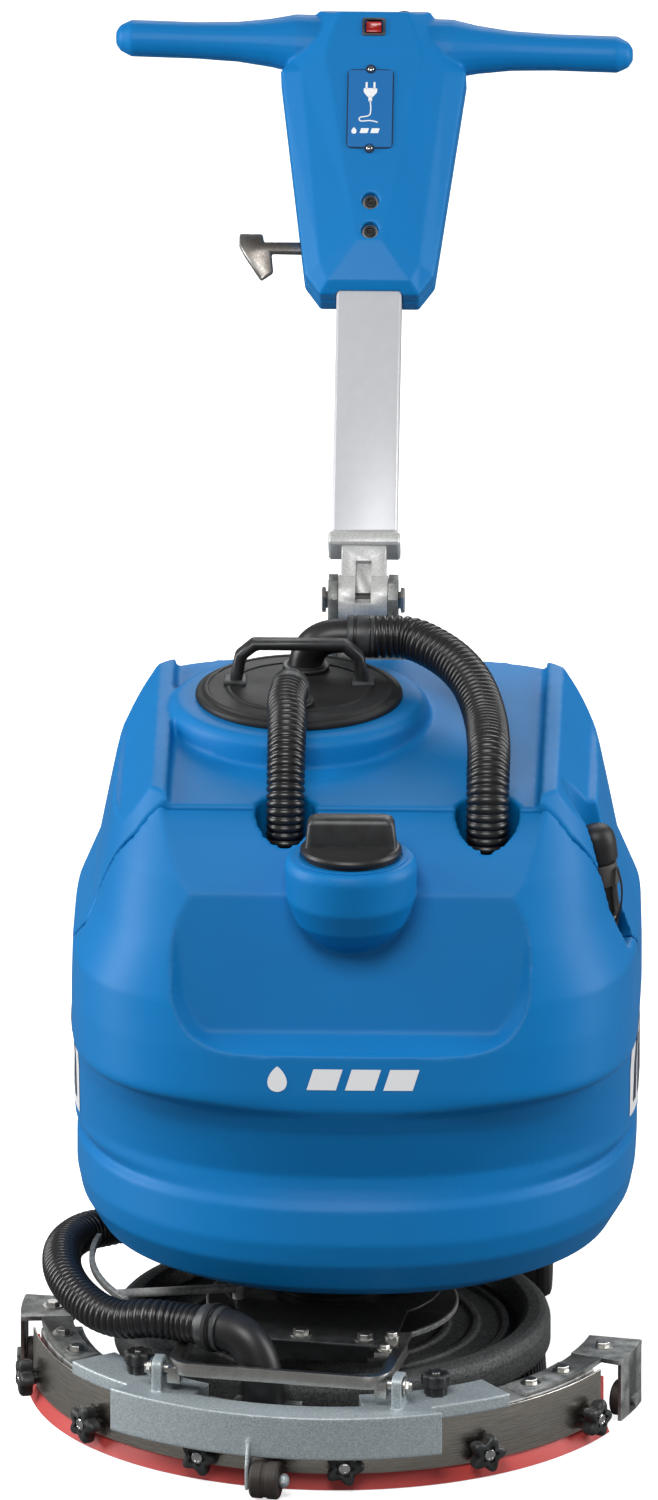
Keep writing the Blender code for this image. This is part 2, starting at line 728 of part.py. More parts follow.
def wheel(root, side, x):
    centre = (x, AXLE_Y, WHEEL_R)
    half = WHEEL_WIDTH / 2
    rim = WHEEL_R - 16
    hub = [(AXLE_R + RUNNING, -half), (22, -half), (22, -half + 8), (rim - 8, -half + 10),
           (rim - 6, -half + 3),
           (rim, -half + 3), (rim, half - 3), (rim - 6, half - 3), (rim - 8, half - 10), (22, half - 8),
           (22, half), (AXLE_R + RUNNING, half)]
    part(f"wheel_hub_{side}", moved(turned(hub, 20, closed=True), centre, ("Y", 90)), "black_plastic",
         root, centre)
    tyre = [(rim + GAP, -half + 2), (WHEEL_R - 6, -half), (WHEEL_R, -half + 7), (WHEEL_R, half - 7),
            (WHEEL_R - 6, half), (rim + GAP, half - 2)]
    part(f"tyre_{side}", moved(turned(tyre, 20, closed=True), centre, ("Y", 90)), "rubber", root, centre)


def mast_bracket(root):
    """Column behind the tanks, with two cheeks that hold the handle's pivot pin."""
    post = box((-44, 44), (CHANNEL_Y + 3, MAST_Y + 22), (DECK_Z - 62, MAST_Z - 46), 3)
    column = part("mast_bracket", post, "dark_steel", root)
    cheek = [(MAST_Y - 22, MAST_Z - 60), (MAST_Y + 22, MAST_Z - 60), (MAST_Y + 22, MAST_Z + 8),
             (MAST_Y + 12, MAST_Z + 20), (MAST_Y - 12, MAST_Z + 20), (MAST_Y - 22, MAST_Z + 8)]
    for low in (-31, 31 - 8.5):
        join(column, prism(cheek, low, low + 8.5, axis="X"))
    for sign in (-1, 1):
        gusset = [(30 * sign, MAST_Z - 16), (43 * sign, MAST_Z - 47), (30 * sign, MAST_Z - 47)]
        join(column, prism(gusset, MAST_Y - 4, MAST_Y + 4, axis="Y"))
    cut(column, between(PIN_R + GAP, (-60, MAST_Y, MAST_Z), (60, MAST_Y, MAST_Z)))
    pin = part("mast_pin", between(PIN_R, (-34, MAST_Y, MAST_Z), (34, MAST_Y, MAST_Z), 16), "steel", root,
               (0, MAST_Y, MAST_Z))
    for x in (-37, 33):
        join(pin, between(PIN_R + 4, (x, MAST_Y, MAST_Z), (x + 4, MAST_Y, MAST_Z), 6))


# ---------------------------------------------------------------- brush

def brush(axis):
    web_z = BRUSH_RIM_Z - 16
    block = [(HUB_R + GAP, BRISTLE_Z), (BRUSH_R, BRISTLE_Z), (BRUSH_R, BRUSH_RIM_Z - 10),
             (BRUSH_R - 10, BRUSH_RIM_Z), (BRUSH_R - 22, BRUSH_RIM_Z), (BRUSH_R - 28, web_z),
             (HUB_R + GAP, web_z)]
    part("brush_block", turned(block, 36, closed=True), "black_plastic", axis)
    low = BRISTLE_Z - GAP
    bristles = [(HUB_R + 6, low), (HUB_R + 4, 0), (BRUSH_R - 3, 0), (BRUSH_R - 5, low)]
    part("bristles", turned(bristles, 36, closed=True), "rubber", axis)
    hub = [(0, BRISTLE_Z + 2), (HUB_R, BRISTLE_Z + 2), (HUB_R, web_z + 6), (HUB_R - 12, DRIVE_PLATE_Z - GAP),
           (0, DRIVE_PLATE_Z - GAP)]
    part("brush_hub", turned(hub, 28), "black_plastic", axis)


# ---------------------------------------------------------------- squeegee

def squeegee_arm(swing):
    """Folded plate that turns round the motor's neck and carries the squeegee on a silver bow."""
    bore_r = HUB_R - 8 + 2
    z = (ARM_Z, ARM_Z + 3)
    front = -150
    arm = part("squeegee_arm", rod(bore_r + 46, *z, 28), "dark_steel", swing)
    half = ARM_HALF_WIDTH
    tongue = [(-78, -20), (-half, -120), (-half - 10, front), (half + 10, front), (half, -120), (78, -20)]
    join(arm, prism(tongue, *z), box((-64, 64), (front, front + 3), (ARM_Z - 15, ARM_Z + 2)))
    cut(arm, rod(bore_r, 50, 130, 28))

    reach, bar, thick = BOW_REACH, PIN_Y - 14, 10
    bend = 22
    outer = [(reach, front - GAP), (reach, bar + bend)]
    inner = [(reach - thick, front - GAP), (reach - thick, bar + bend)]
    for k in range(1, 6):
        a = math.radians(18 * k)
        outer.append((reach - bend + bend * math.cos(a), bar + bend - bend * math.sin(a)))
        turn = bend - thick + 4
        inner.append((reach - thick - turn + turn * math.cos(a), bar + bend - (bend - 5) * math.sin(a)))
    outline = outer + [(-x, y) for x, y in reversed(outer)] + [(-x, y) for x, y in inner]
    outline += list(reversed(inner))
    bow = part("squeegee_bow", prism(outline, PIN_Z - 1, PIN_Z + 11), "steel", swing)
    for sign in (-1, 1):
        inside, outside = reach - 12, reach + 4
        join(bow, box(sorted((inside * sign, (reach - 1) * sign)), (PIN_Y - 9, PIN_Y + 9),
                      (PIN_Z - 10, PIN_Z + 4)))
        join(bow, box(sorted(((reach - 24) * sign, (reach - 2) * sign)), (front - 30, front + 26),
                      (ARM_Z + 3 + GAP, ARM_Z + 8)))
        join(bow, between(5, ((reach - 8) * sign, PIN_Y, PIN_Z), ((outside + 17) * sign, PIN_Y, PIN_Z), 14))

    guard = arc_about_brush(ring_section((211, 216), (ARM_Z + 24, ARM_Z + 30)), -47, -92)
    guard_part = part("hose_guard", guard, "steel", swing)
    strut_angle = math.radians(-52)
    way = Vector((math.sin(strut_angle), -math.cos(strut_angle), 0))
    join(guard_part,
         between(4, way * 213 + Vector((0, 0, ARM_Z + 27)), way * 92 + Vector((0, 0, ARM_Z + 13)), 10),
         between(5, way * 93 + Vector((0, 0, ARM_Z + 3 + GAP)), way * 93 + Vector((0, 0, ARM_Z + 16)), 10))


def arc_about_brush(section, start, end, step=6):
    count = round(abs(end - start) / step)
    rings = []
    for k in range(count + 1):
        a = math.radians(start + (end - start) * k / count)
        rings.append([(r * math.sin(a), -r * math.cos(a), z) for r, z in section])
    return loft(rings)


def squeegee(pitch):
    """Everything that rides on the ear pins. Drawn about the brush axis."""
    at = (0, PIN_Y, PIN_Z)
    top = (PLATE_Z, PLATE_Z + PLATE_THICK)
    out, inner, web = OUTER_R, INNER_R, 3
    section = [(REAR_R, top[0]), (inner, top[0]), (inner, 16), (inner + web, 16), (inner + web, top[0]),
               (out - web, top[0]), (out - web, 16), (out, 16), (out, top[1]), (REAR_R, top[1])]
    plate = part("squeegee_plate", arc_bar(section, -HALF_SPAN, HALF_SPAN), "dark_steel", pitch, at)
    join(plate, arc_bar(ring_section((REAR_R - 13, REAR_R + 10), (top[0] - 2, top[1])), -12, 4, step=4))
    part("squeegee_band", arc_bar(ring_section((BAND_R, BAND_R + 2), (14, BAND_Z)), -HALF_SPAN, HALF_SPAN),
         "steel", pitch, at)
    lip = [(out + GAP, 18), (BAND_R + 2, 0), (BAND_R + 6, 0), (BAND_R - GAP, 13), (BAND_R - GAP, 52),
           (out + GAP, 52)]
    part("blade_outer", arc_bar(lip, -HALF_SPAN, HALF_SPAN), "red_rubber", pitch, at)
    part("blade_inner", arc_bar(ring_section((inner - 4.5, inner - GAP), (0, 52)), -HALF_SPAN, HALF_SPAN),
         "red_rubber", pitch, at)
    for n in range(6):
        star_knob(pitch, f"band_knob_{n + 1}", (n - 2.5) * KNOB_STEP)
    weight(pitch, at)
    for side, sign in (("left", -1), ("right", 1)):
        end_bracket(pitch, side, sign, at, top[1])
    port, bend, mouth = squeegee_bend()
    part("squeegee_elbow", elbow(port, bend, mouth, SQUEEGEE_HOSE_R + 1, SQUEEGEE_HOSE_R + 3, CUFF_LENGTH),
         "black_plastic", pitch, at)


def squeegee_bend():
    """The elbow's foot, corner and far end, over the squeegee's suction port."""
    port = on_arc(-4, PORT_R, PLATE_Z + PLATE_THICK + GAP)
    return port, port + Vector((0, 0, 66)), port + Vector((-38, 14, 64))


def star_knob(pitch, name, angle):
    """Five-lobed hand knob whose axis points out from the band."""
    start = on_arc(angle, BAND_R + 2 + GAP, KNOB_Z)
    ring = []
    for k in range(20):
        a = math.tau * k / 20
        r = KNOB_R - 3 + 3 * math.cos(5 * a)
        ring.append((r * math.cos(a), r * math.sin(a)))
    core = [(x * 0.45, y * 0.45) for x, y in ring]
    bm = loft([[(x, y, 0) for x, y in core], [(x, y, 5) for x, y in ring], [(x, y, 14) for x, y in ring],
               [(x * 0.8, y * 0.8, 17) for x, y in ring]])
    way = on_arc(angle, 1) - on_arc(angle, 0)
    matrix = Matrix.Translation(start) @ way.to_track_quat("Z", "Y").to_matrix().to_4x4()
    bmesh.ops.transform(bm, matrix=matrix, verts=bm.verts)
    part(name, bm, "black_plastic", pitch, start)


def weight(pitch, at):
    """Galvanised casting over the middle of the squeegee, with the ears and the front roller's pin."""
    low = BAND_Z + GAP
    wall = arc_bar(ring_section((WEIGHT_R - 5.5, WEIGHT_R), (WEIGHT_FOOT, WEIGHT_TOP)), -30.5, 30.5)
    cast = part("squeegee_weight", wall, "galvanised", pitch, at)
    join(cast, arc_bar(ring_section((OUTER_R - 1, WEIGHT_R - 2), (low, WEIGHT_TOP - 0.5)), -30, 30, step=5))
    for sign in (-1, 1):
        tongue = ring_section((REAR_R + 5, BAND_R + 8), (low, WEIGHT_TOP - 1))
        join(cast, arc_bar(tongue, 17 * sign, 46 * sign, step=4))
        ear_x = BOW_REACH + 4
        join(cast, box(sorted((ear_x * sign, (ear_x + 9) * sign)), (PIN_Y - 13, PIN_Y + 13),
                       (WEIGHT_TOP - 4, PIN_Z + 11)))
    reach = BOW_REACH + 40
    cut(cast, between(5 + RUNNING, (-reach, PIN_Y, PIN_Z), (reach, PIN_Y, PIN_Z), 20))
    hub = on_arc(0, WEIGHT_R + 2, ROLLER_R)
    lug = [(hub.y - 8, 8), (hub.y + 8, 8), (hub.y + 10, WEIGHT_FOOT), (hub.y + 6, WEIGHT_TOP - 20),
           (hub.y + 3, WEIGHT_TOP - 20), (hub.y - 8, WEIGHT_FOOT - 4)]
    join(cast, prism(lug, -18, -14.5, axis="X"), between(4, (-16, hub.y, hub.z), (21, hub.y, hub.z), 14),
         between(7, (14, hub.y, hub.z), (19, hub.y, hub.z), 6))
    tyre = [(4 + RUNNING, -13), (ROLLER_R - 2, -13), (ROLLER_R, -11), (ROLLER_R, 11), (ROLLER_R - 2, 13),
            (4 + RUNNING, 13)]
    part("front_roller", moved(turned(tyre, 24, closed=True), hub, ("Y", 90)), "rubber", pitch, hub)
    for side, sign in (("left", -1), ("right", 1)):
        spot = on_arc(THUMB_ANGLE * sign, INNER_R + 4, WEIGHT_TOP - 1 + GAP)
        flutes = []
        for k in range(24):
            a = math.tau * k / 24
            r = 12.6 + 0.9 * math.cos(8 * a)
            flutes.append((r * math.cos(a), r * math.sin(a)))
        knob = loft([[(x * 0.8, y * 0.8, 0) for x, y in flutes], [(x * 0.8, y * 0.8, 8) for x, y in flutes],
                     [(x, y, 9) for x, y in flutes], [(x, y, 18) for x, y in flutes],
                     [(x * 0.85, y * 0.85, 20) for x, y in flutes]])
        part(f"thumb_knob_{side}", moved(knob, spot), "black_plastic", pitch, spot)


def end_bracket(pitch, side, sign, at, low):
    """Plate bolted over the squeegee's end, folded down outside a bumper roller."""
    low += GAP
    outer = BAND_R + 12
    bracket = part(f"end_bracket_{side}",
                   arc_bar(ring_section((REAR_R + 8, OUTER_R - 1), (low, low + 4)), 52 * sign, 78 * sign),
                   "dark_steel", pitch, at)
    join(bracket,
         arc_bar(ring_section((REAR_R + 6, outer), (low + 0.2, low + 4.4)), 76 * sign, 88 * sign, step=4),
         arc_bar(ring_section((outer - 3, outer + 0.3), (8, low + 4.2)), 76.5 * sign, 87.5 * sign, step=4))
    middle = 82 * sign
    way = on_arc(middle, 1) - on_arc(middle, 0)
    hub = on_arc(middle, outer - 11, 20)
    join(bracket, between(3, hub - way * 8, hub + way * 10, 12),
         between(6, hub + way * 10, hub + way * 15, 6))
    tyre = [(3 + RUNNING, -6), (END_ROLLER_R, -6), (END_ROLLER_R, 6), (3 + RUNNING, 6)]
    bm = turned(tyre, 22, closed=True)
    matrix = Matrix.Translation(hub) @ way.to_track_quat("Z", "Y").to_matrix().to_4x4()
    bmesh.ops.transform(bm, matrix=matrix, verts=bm.verts)
    part(f"end_roller_{side}", bm, "rubber", pitch, hub)


def squeegee_hose(root):
    """Suction hose from the squeegee's elbow, round the brush and up into the motor bay."""
    swung = Matrix.Translation((BRUSH_X, 0, 0)) @ Matrix.Rotation(math.radians(SWING), 4, "Z")
    bend = [swung @ point for point in squeegee_bend()[1:]]
    hose("squeegee_hose",
         [*hose_start(*bend, CUFF_LENGTH, SQUEEGEE_HOSE_R),
          (-177, -157, 123), (-201, -144, 117), (-221, -126, 116), (-237, -102, 118),
          (-249, -76, 121), (-257, -48, 124), (-260, -18, 125), (-259, 12, 125), (-253, 42, 123),
          (-241, 68, 121), (-222, 86, 119), (-199, 97, 121), (-177, 101, 130), (-158, 99, 146),
          (-146, 94, 166), (-140, 90, 190), (-138, 88, 224)],
         SQUEEGEE_HOSE_R, "rubber", root)


# ---------------------------------------------------------------- handle, drawn upright about its pivot

def mast(pivot):
    half, depth = TUBE_WIDTH / 2, TUBE_DEPTH / 2
    knuckle = part("mast_knuckle", between(PIVOT_R - 2, (-22, 0, 0), (22, 0, 0), 28), "steel", pivot)
    join(knuckle, box((-20, 20), (-14, 14), (8, 50), 1), box((-32, 32), (-18, 18), (47, TUBE_LOW - GAP), 2))
    cut(knuckle, between(PIN_R + RUNNING, (-60, 0, 0), (60, 0, 0), 24), box((-7, 7), (-60, -8), (-12, 32)))
    tube = box((-half, half), (-depth, depth), (TUBE_LOW, HEAD_LOW + 36), 2)
    tube = part("mast_tube", tube, "painted_tube", pivot)
    cut(tube, box((-half + 3, half - 3), (-depth + 3, depth - 3), (TUBE_LOW - 10, HEAD_LOW + 60)))


def head_side_outline():
    """Right-hand outline of the head from its foot to its top: silhouette, facet edge, raised panel."""
    silhouette = [(44, HEAD_LOW), (58, HEAD_LOW + 20), (83, HEAD_HIGH - 60), (74, HEAD_HIGH - 49),
                  (58, HEAD_HIGH - 14), (50, HEAD_HIGH)]
    facet = [(36, HEAD_LOW + 10), (44, HEAD_LOW + 28), (64, HEAD_HIGH - 64), (60, HEAD_HIGH - 52),
             (46, HEAD_HIGH - 18), (40, HEAD_HIGH - 6)]
    panel = [(11, HEAD_LOW + 46), (14, HEAD_LOW + 60), (43, HEAD_HIGH - 52), (41, HEAD_HIGH - 40),
             (32, HEAD_HIGH - 14), (29, HEAD_HIGH - 8)]
    return silhouette, facet, panel


def head_block():
    def ring(side, y):
        return [(x, y, z) for x, z in side] + [(-x, y, z) for x, z in reversed(side)]
    silhouette, facet, panel = head_side_outline()
    return loft([ring(facet, HEAD_BACK), ring(silhouette, HEAD_BACK - 10), ring(silhouette, -14),
                 ring(facet, -23), ring(panel, HEAD_FRONT)])


def grip(sign):
    """One arm of the handlebar, thick at the head and round at the hand."""
    stages = ((40, 27, 24), (70, 27, 24), (92, 22, 21), (122, 18, 18), (160, GRIP_R, GRIP_R),
              (GRIP_REACH - 14, GRIP_R, GRIP_R), (GRIP_REACH - 4, GRIP_R - 5, GRIP_R - 5),
              (GRIP_REACH, GRIP_R - 11, GRIP_R - 11))
    middle = HEAD_HIGH - 28
    rings = []
    for x, tall, deep in stages:
        z = middle - sign * x * math.tan(math.radians(GRIP_TILT))
        rings.append([(sign * x, deep * math.cos(a), z + tall * math.sin(a))
                      for a in (math.tau * (k + 0.5) / 20 for k in range(20))])
    return loft(rings)


def head_inside():
    """Space for the switch, the wiring and the lever's pivot."""
    levels = ((HEAD_LOW + 42, 36), (HEAD_LOW + 90, 44), (HEAD_HIGH - 66, 60), (HEAD_HIGH - 30, 44))
    return loft([[(-x, -10, z), (x, -10, z), (x, 18, z), (-x, 18, z)] for z, x in levels])


def head_shell(name, pivot, side, button_r, button_x, button_y):
    shell = part(name, head_block(), "blue_plastic", pivot, sharp=22)
    join(shell, grip(-1), grip(1))
    keep(shell, box((-400, 400), side, (0, 900)))
    socket_x, socket_y = TUBE_WIDTH / 2 + GAP, TUBE_DEPTH / 2 + GAP
    cut(
        shell,
        head_inside(),
        box((-socket_x, socket_x), (-socket_y, socket_y), (HEAD_LOW - 20, HEAD_LOW + 44)),
        box((-120, -32), (-4.5, 4.5), (HEAD_LOW + 18, HEAD_LOW + 76)),
    )
    if side[0] < 0:
        cut(shell, box((-8.5, 8.5), (-50, HEAD_FRONT + 9), (HEAD_HIGH - 30.5, HEAD_HIGH - 16.5)),
            *[between(8, (0, -60, z), (0, HEAD_FRONT + 8, z), 20) for z in (HEAD_LOW + 56, HEAD_LOW + 85)])
    else:
        cut(shell, moved(rod(button_r + RUNNING, HEAD_HIGH - 7, HEAD_HIGH + 40, 20), (button_x, button_y, 0)))


def head(pivot):
    button_r, button_x, button_y = 11, -20, 13
    head_shell("head_front", pivot, (-90, -GAP / 2), button_r, button_x, button_y)
    head_shell("head_back", pivot, (GAP / 2, 90), button_r, button_x, button_y)

    base = HEAD_HIGH - 4
    dome = [(0, base), (button_r, base), (button_r, HEAD_HIGH + 2), (button_r - 3, HEAD_HIGH + 4.5),
            (0, HEAD_HIGH + 5.5)]
    button = moved(turned(dome, 20), (button_x, button_y, 0))
    part("push_button", button, "steel", pivot, (button_x, button_y, base))
    dial_at = (26, button_y, HEAD_HIGH + GAP)
    dial = [(0, 0), (7.5, 0), (7.5, 9), (6.5, 10.5), (0, 10.5)]
    part("flow_dial", moved(turned(dial, 10), dial_at), "steel", pivot, dial_at)

    rocker_at = (0, HEAD_FRONT + 4, HEAD_HIGH - 23.5)
    rocker = [(rocker_at[1] + 4, -5), (rocker_at[1] + 4, 5), (rocker_at[1] - 4.5, 5.2), (rocker_at[1] - 3, 0),
              (rocker_at[1] - 4.5, -5.2)]
    part("rocker_switch", prism([(y, z + rocker_at[2]) for y, z in rocker], -7, 7, axis="X"), "red_plastic",
         pivot, rocker_at)
    part("cord_inlet", moved(turned([(0, 0), (6.5, 0), (6.5, -8), (4.6, -20), (0, -20)], 18),
                             (0, 22.5, HEAD_LOW - GAP)), "black_plastic", pivot, (0, 22.5, HEAD_LOW - GAP))

    lever_at = (-20, 0, HEAD_LOW + 51)
    z = lever_at[2]
    outline = [(-14, z + 6), (-14, z - 6), (-88, z - 5), (-86, z - 24), (-97, z - 32), (-112, z - 8),
               (-117, z + 2), (-117, z + 14), (-96, z + 14), (-95, z + 6)]
    part("tilt_lever", prism(outline, -3, 3, axis="Y"), "steel", pivot, lever_at)


# ---------------------------------------------------------------- assembly

def stand_on_origin(root):
    """Moves the whole machine so that the middle of its footprint is at the world's origin."""
    bpy.context.view_layer.update()
    graph = bpy.context.evaluated_depsgraph_get()
    corners = []
    for obj in bpy.context.scene.objects:
        if obj.type == "EMPTY" or obj.hide_render:
            continue
        seen = obj.evaluated_get(graph)
        mesh = seen.to_mesh()
        corners += [seen.matrix_world @ vert.co for vert in mesh.vertices]
        seen.to_mesh_clear()
    low = Vector([min(c[k] for c in corners) for k in range(3)])
    high = Vector([max(c[k] for c in corners) for k in range(3)])
    root.location -= Vector(((low.x + high.x) / 2, (low.y + high.y) / 2, low.z))


def main():
    clear_scene()
    root = empty("machine", (0, 0, 0))
    solution_tank(root)
    recovery_tank(root)
    chassis(root)
    mast_bracket(root)
    lid_set(root)
    tank_hoses(root)
    filler(root)
    drain(root)
    brush(empty("brush_axis", (BRUSH_X, 0, 0), root))
    swing = empty("swing_axis", (BRUSH_X, 0, 0), root, (0, 0, SWING))
    squeegee_arm(swing)
    squeegee(swing)
    squeegee_hose(root)
    pivot = empty("mast_axis", (0, MAST_Y, MAST_Z), root, (-MAST_LEAN, 0, 0))
    mast(pivot)
    head(pivot)
    stand_on_origin(root)


main()
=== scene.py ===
"""Finished look of a compact floor scrubber-dryer: moulded blue tanks, disc brush, swinging squeegee, folding handle.

Shapes are drawn in millimetres in one of three frames (machine, squeegee, handle) and placed in metres.
"""

import json
import math
import random

import bmesh
import bpy
import numpy as np
from mathutils import Matrix, Vector

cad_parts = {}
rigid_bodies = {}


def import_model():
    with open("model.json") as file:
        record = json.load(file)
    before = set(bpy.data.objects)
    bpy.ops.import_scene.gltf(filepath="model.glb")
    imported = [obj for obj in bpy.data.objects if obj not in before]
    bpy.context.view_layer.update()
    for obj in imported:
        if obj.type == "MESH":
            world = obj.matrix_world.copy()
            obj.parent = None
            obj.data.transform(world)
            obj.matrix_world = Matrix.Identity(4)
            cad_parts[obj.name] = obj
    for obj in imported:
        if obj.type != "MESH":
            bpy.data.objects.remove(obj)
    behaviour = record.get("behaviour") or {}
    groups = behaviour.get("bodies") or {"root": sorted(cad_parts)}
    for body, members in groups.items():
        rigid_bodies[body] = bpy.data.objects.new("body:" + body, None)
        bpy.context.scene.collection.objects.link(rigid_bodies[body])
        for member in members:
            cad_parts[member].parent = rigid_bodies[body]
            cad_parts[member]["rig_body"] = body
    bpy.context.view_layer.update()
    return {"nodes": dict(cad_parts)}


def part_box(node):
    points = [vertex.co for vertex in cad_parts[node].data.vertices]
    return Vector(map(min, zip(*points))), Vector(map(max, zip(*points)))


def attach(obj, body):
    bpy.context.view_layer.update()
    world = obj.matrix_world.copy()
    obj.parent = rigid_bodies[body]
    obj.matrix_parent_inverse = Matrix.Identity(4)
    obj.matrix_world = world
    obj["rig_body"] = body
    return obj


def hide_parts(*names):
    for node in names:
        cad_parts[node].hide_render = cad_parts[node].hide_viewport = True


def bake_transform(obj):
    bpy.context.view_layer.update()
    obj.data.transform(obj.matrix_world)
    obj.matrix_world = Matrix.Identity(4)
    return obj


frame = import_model()

# ---------------------------------------------------------------- sizes taken over from the frame (mm)
BRUSH_X = -20
SWING = -10.5
ARC_Y = 15
MAST_Y, MAST_Z, MAST_LEAN = 290, 640, 45
BODY_HALF_WIDTH, BODY_FRONT, BODY_REAR, BODY_MID_Y = 252, -195, 300, 58
SKIRT_Z, LEDGE_Z, PARTING_Z = 143, 384, 387
TOP_Z, TOP_Y, TOP_SLOPE, SEAM_Y = 572, -60, 0.085, -62
RIB_INNER, RIB_TOP, RIB_HEIGHT = 163, 14, 11
DECK_Z = 244
CHANNEL_Y, CHANNEL_HALF_WIDTH = 262, 52
LID_X, LID_Y, COLLAR_Z, COLLAR_R, LID_MOUTH_R = -53, 132, 606, 115, 75
FILLER_Y, FILLER_Z, FILLER_R = -135, 553, 57
SUCTION_HOSE_R, VACUUM_HOSE_R, SQUEEGEE_HOSE_R = 17.3, 19.3, 17.5
SUCTION_POCKET_X, VACUUM_POCKET_X, POCKET_Z, POCKET_CLEARANCE = -60, 119, 505, 8.8
BRUSH_R, BRISTLE_Z, BRUSH_RIM_Z, HUB_R = 194, 45, 78, 58
DRIVE_PLATE_R, DRIVE_PLATE_Z = 112, 80
WHEEL_R, WHEEL_X, AXLE_Y = 80, 150, 250
HALF_SPAN, BAND_R, BAND_Z, PLATE_Z = 72.5, 268, 62, 58
WEIGHT_R, WEIGHT_TOP, WEIGHT_FOOT, PIN_Y, PIN_Z, BOW_REACH = 296, 76, 36, -228, 94, 100
HEAD_LOW, HEAD_HIGH, HEAD_FRONT, HEAD_BACK = 294, 574, -31, 28

hub_low, hub_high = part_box("brush_hub")
MM = Matrix.Scale(0.001, 4)
MACHINE = Matrix.Translation(((hub_low.x + hub_high.x) / 2 - BRUSH_X * 0.001, (hub_low.y + hub_high.y) / 2, 0))
SWUNG = MACHINE @ Matrix.Translation((BRUSH_X * 0.001, 0, 0)) @ Matrix.Rotation(math.radians(SWING), 4, "Z")
HANDLE = MACHINE @ Matrix.Translation((0, MAST_Y * 0.001, MAST_Z * 0.001)) @ Matrix.Rotation(
    math.radians(-MAST_LEAN), 4, "X")

# ---------------------------------------------------------------- node groups

def new_group(name, inputs, outputs):
    tree = bpy.data.node_groups.new(name, "ShaderNodeTree")
    for label, kind, default in inputs:
        tree.interface.new_socket(label, in_out="INPUT", socket_type="NodeSocket" + kind).default_value = default
    for label, kind in outputs:
        tree.interface.new_socket(label, in_out="OUTPUT", socket_type="NodeSocket" + kind)
    return tree, tree.nodes.new("NodeGroupInput").outputs, tree.nodes.new("NodeGroupOutput").inputs


def node(tree, kind, settings=None, **sockets):
    """New node; settings are its properties, sockets its inputs as numbers or links."""
    made = tree.nodes.new("ShaderNode" + kind)
    for key, value in (settings or {}).items():
        setattr(made, key, value)
    for key, value in sockets.items():
        socket = made.inputs[int(key[1:])] if key[0] == "i" and key[1:].isdigit() else made.inputs[key.replace("_", " ")]
        if isinstance(value, bpy.types.NodeSocket):
            tree.links.new(value, socket)
        else:
            socket.default_value = value
    return made


def ramp(tree, value, low, high, out_low=0.0, out_high=1.0):
    return node(tree, "MapRange", {"clamp": True}, Value=value, From_Min=low, From_Max=high,
                To_Min=out_low, To_Max=out_high).outputs[0]


def moulded_grain_group():
    """Fine pebbled grain of a moulded surface, with slow cloudy changes of tone."""
    tree, given, out = new_group("moulded_grain",
        [("Grain Size", "Float", 900.0), ("Cloud Size", "Float", 6.0), ("Light", "Color", (0.5, 0.5, 0.5, 1)),
         ("Dark", "Color", (0.4, 0.4, 0.4, 1)), ("Gloss", "Float", 0.4), ("Matt", "Float", 0.55)],
        [("Color", "Color"), ("Roughness", "Float"), ("Height", "Float")])
    at = node(tree, "TexCoord").outputs["Object"]
    fine = node(tree, "TexNoise", Vector=at, Scale=given["Grain Size"], Detail=2.0, Roughness=0.55).outputs["Fac"]
    cells = node(tree, "TexVoronoi", {"feature": "SMOOTH_F1"}, Vector=at, Scale=given["Grain Size"]).outputs["Distance"]
    cloud = node(tree, "TexNoise", Vector=at, Scale=given["Cloud Size"], Detail=4.0, Roughness=0.6).outputs["Fac"]
    mask = ramp(tree, cloud, 0.32, 0.68)
    colour = node(tree, "Mix", {"data_type": "RGBA"}, Factor=mask, i6=given["Dark"], i7=given["Light"])
    tree.links.new(colour.outputs[2], out["Color"])
    rough = node(tree, "Mix", Factor=mask, i2=given["Matt"], i3=given["Gloss"])
    speck = node(tree, "Math", {"operation": "MULTIPLY_ADD"}, i0=fine, i1=0.12, i2=rough.outputs[0])
    tree.links.new(speck.outputs[0], out["Roughness"])
    height = node(tree, "Math", {"operation": "MULTIPLY_ADD"}, i0=cells, i1=0.6, i2=fine)
    tree.links.new(height.outputs[0], out["Height"])
    return tree


def brushed_group():
    """Fine lines drawn along one direction, as left by a grinding belt."""
    tree, given, out = new_group("brushed_lines",
        [("Stretch", "Vector", (30.0, 30.0, 1500.0)), ("Light", "Color", (0.7, 0.7, 0.7, 1)),
         ("Dark", "Color", (0.4, 0.4, 0.4, 1)), ("Gloss", "Float", 0.25), ("Matt", "Float", 0.4)],
        [("Color", "Color"), ("Roughness", "Float"), ("Height", "Float")])
    at = node(tree, "TexCoord").outputs["Object"]
    stretched = node(tree, "VectorMath", {"operation": "MULTIPLY"}, i0=at, i1=given["Stretch"]).outputs[0]
    lines = node(tree, "TexNoise", Vector=stretched, Scale=1.0, Detail=5.0, Roughness=0.7).outputs["Fac"]
    smears = node(tree, "TexNoise", Vector=at, Scale=14.0, Detail=3.0).outputs["Fac"]
    mask = ramp(tree, lines, 0.3, 0.7)
    colour = node(tree, "Mix", {"data_type": "RGBA"}, Factor=mask, i6=given["Dark"], i7=given["Light"])
    tree.links.new(colour.outputs[2], out["Color"])
    blend = node(tree, "Math", {"operation": "MULTIPLY"}, i0=mask, i1=ramp(tree, smears, 0.3, 0.7, 0.6, 1.0))
    rough = node(tree, "Mix", Factor=blend.outputs[0], i2=given["Matt"], i3=given["Gloss"])
    tree.links.new(rough.outputs[0], out["Roughness"])
    tree.links.new(lines, out["Height"])
    return tree


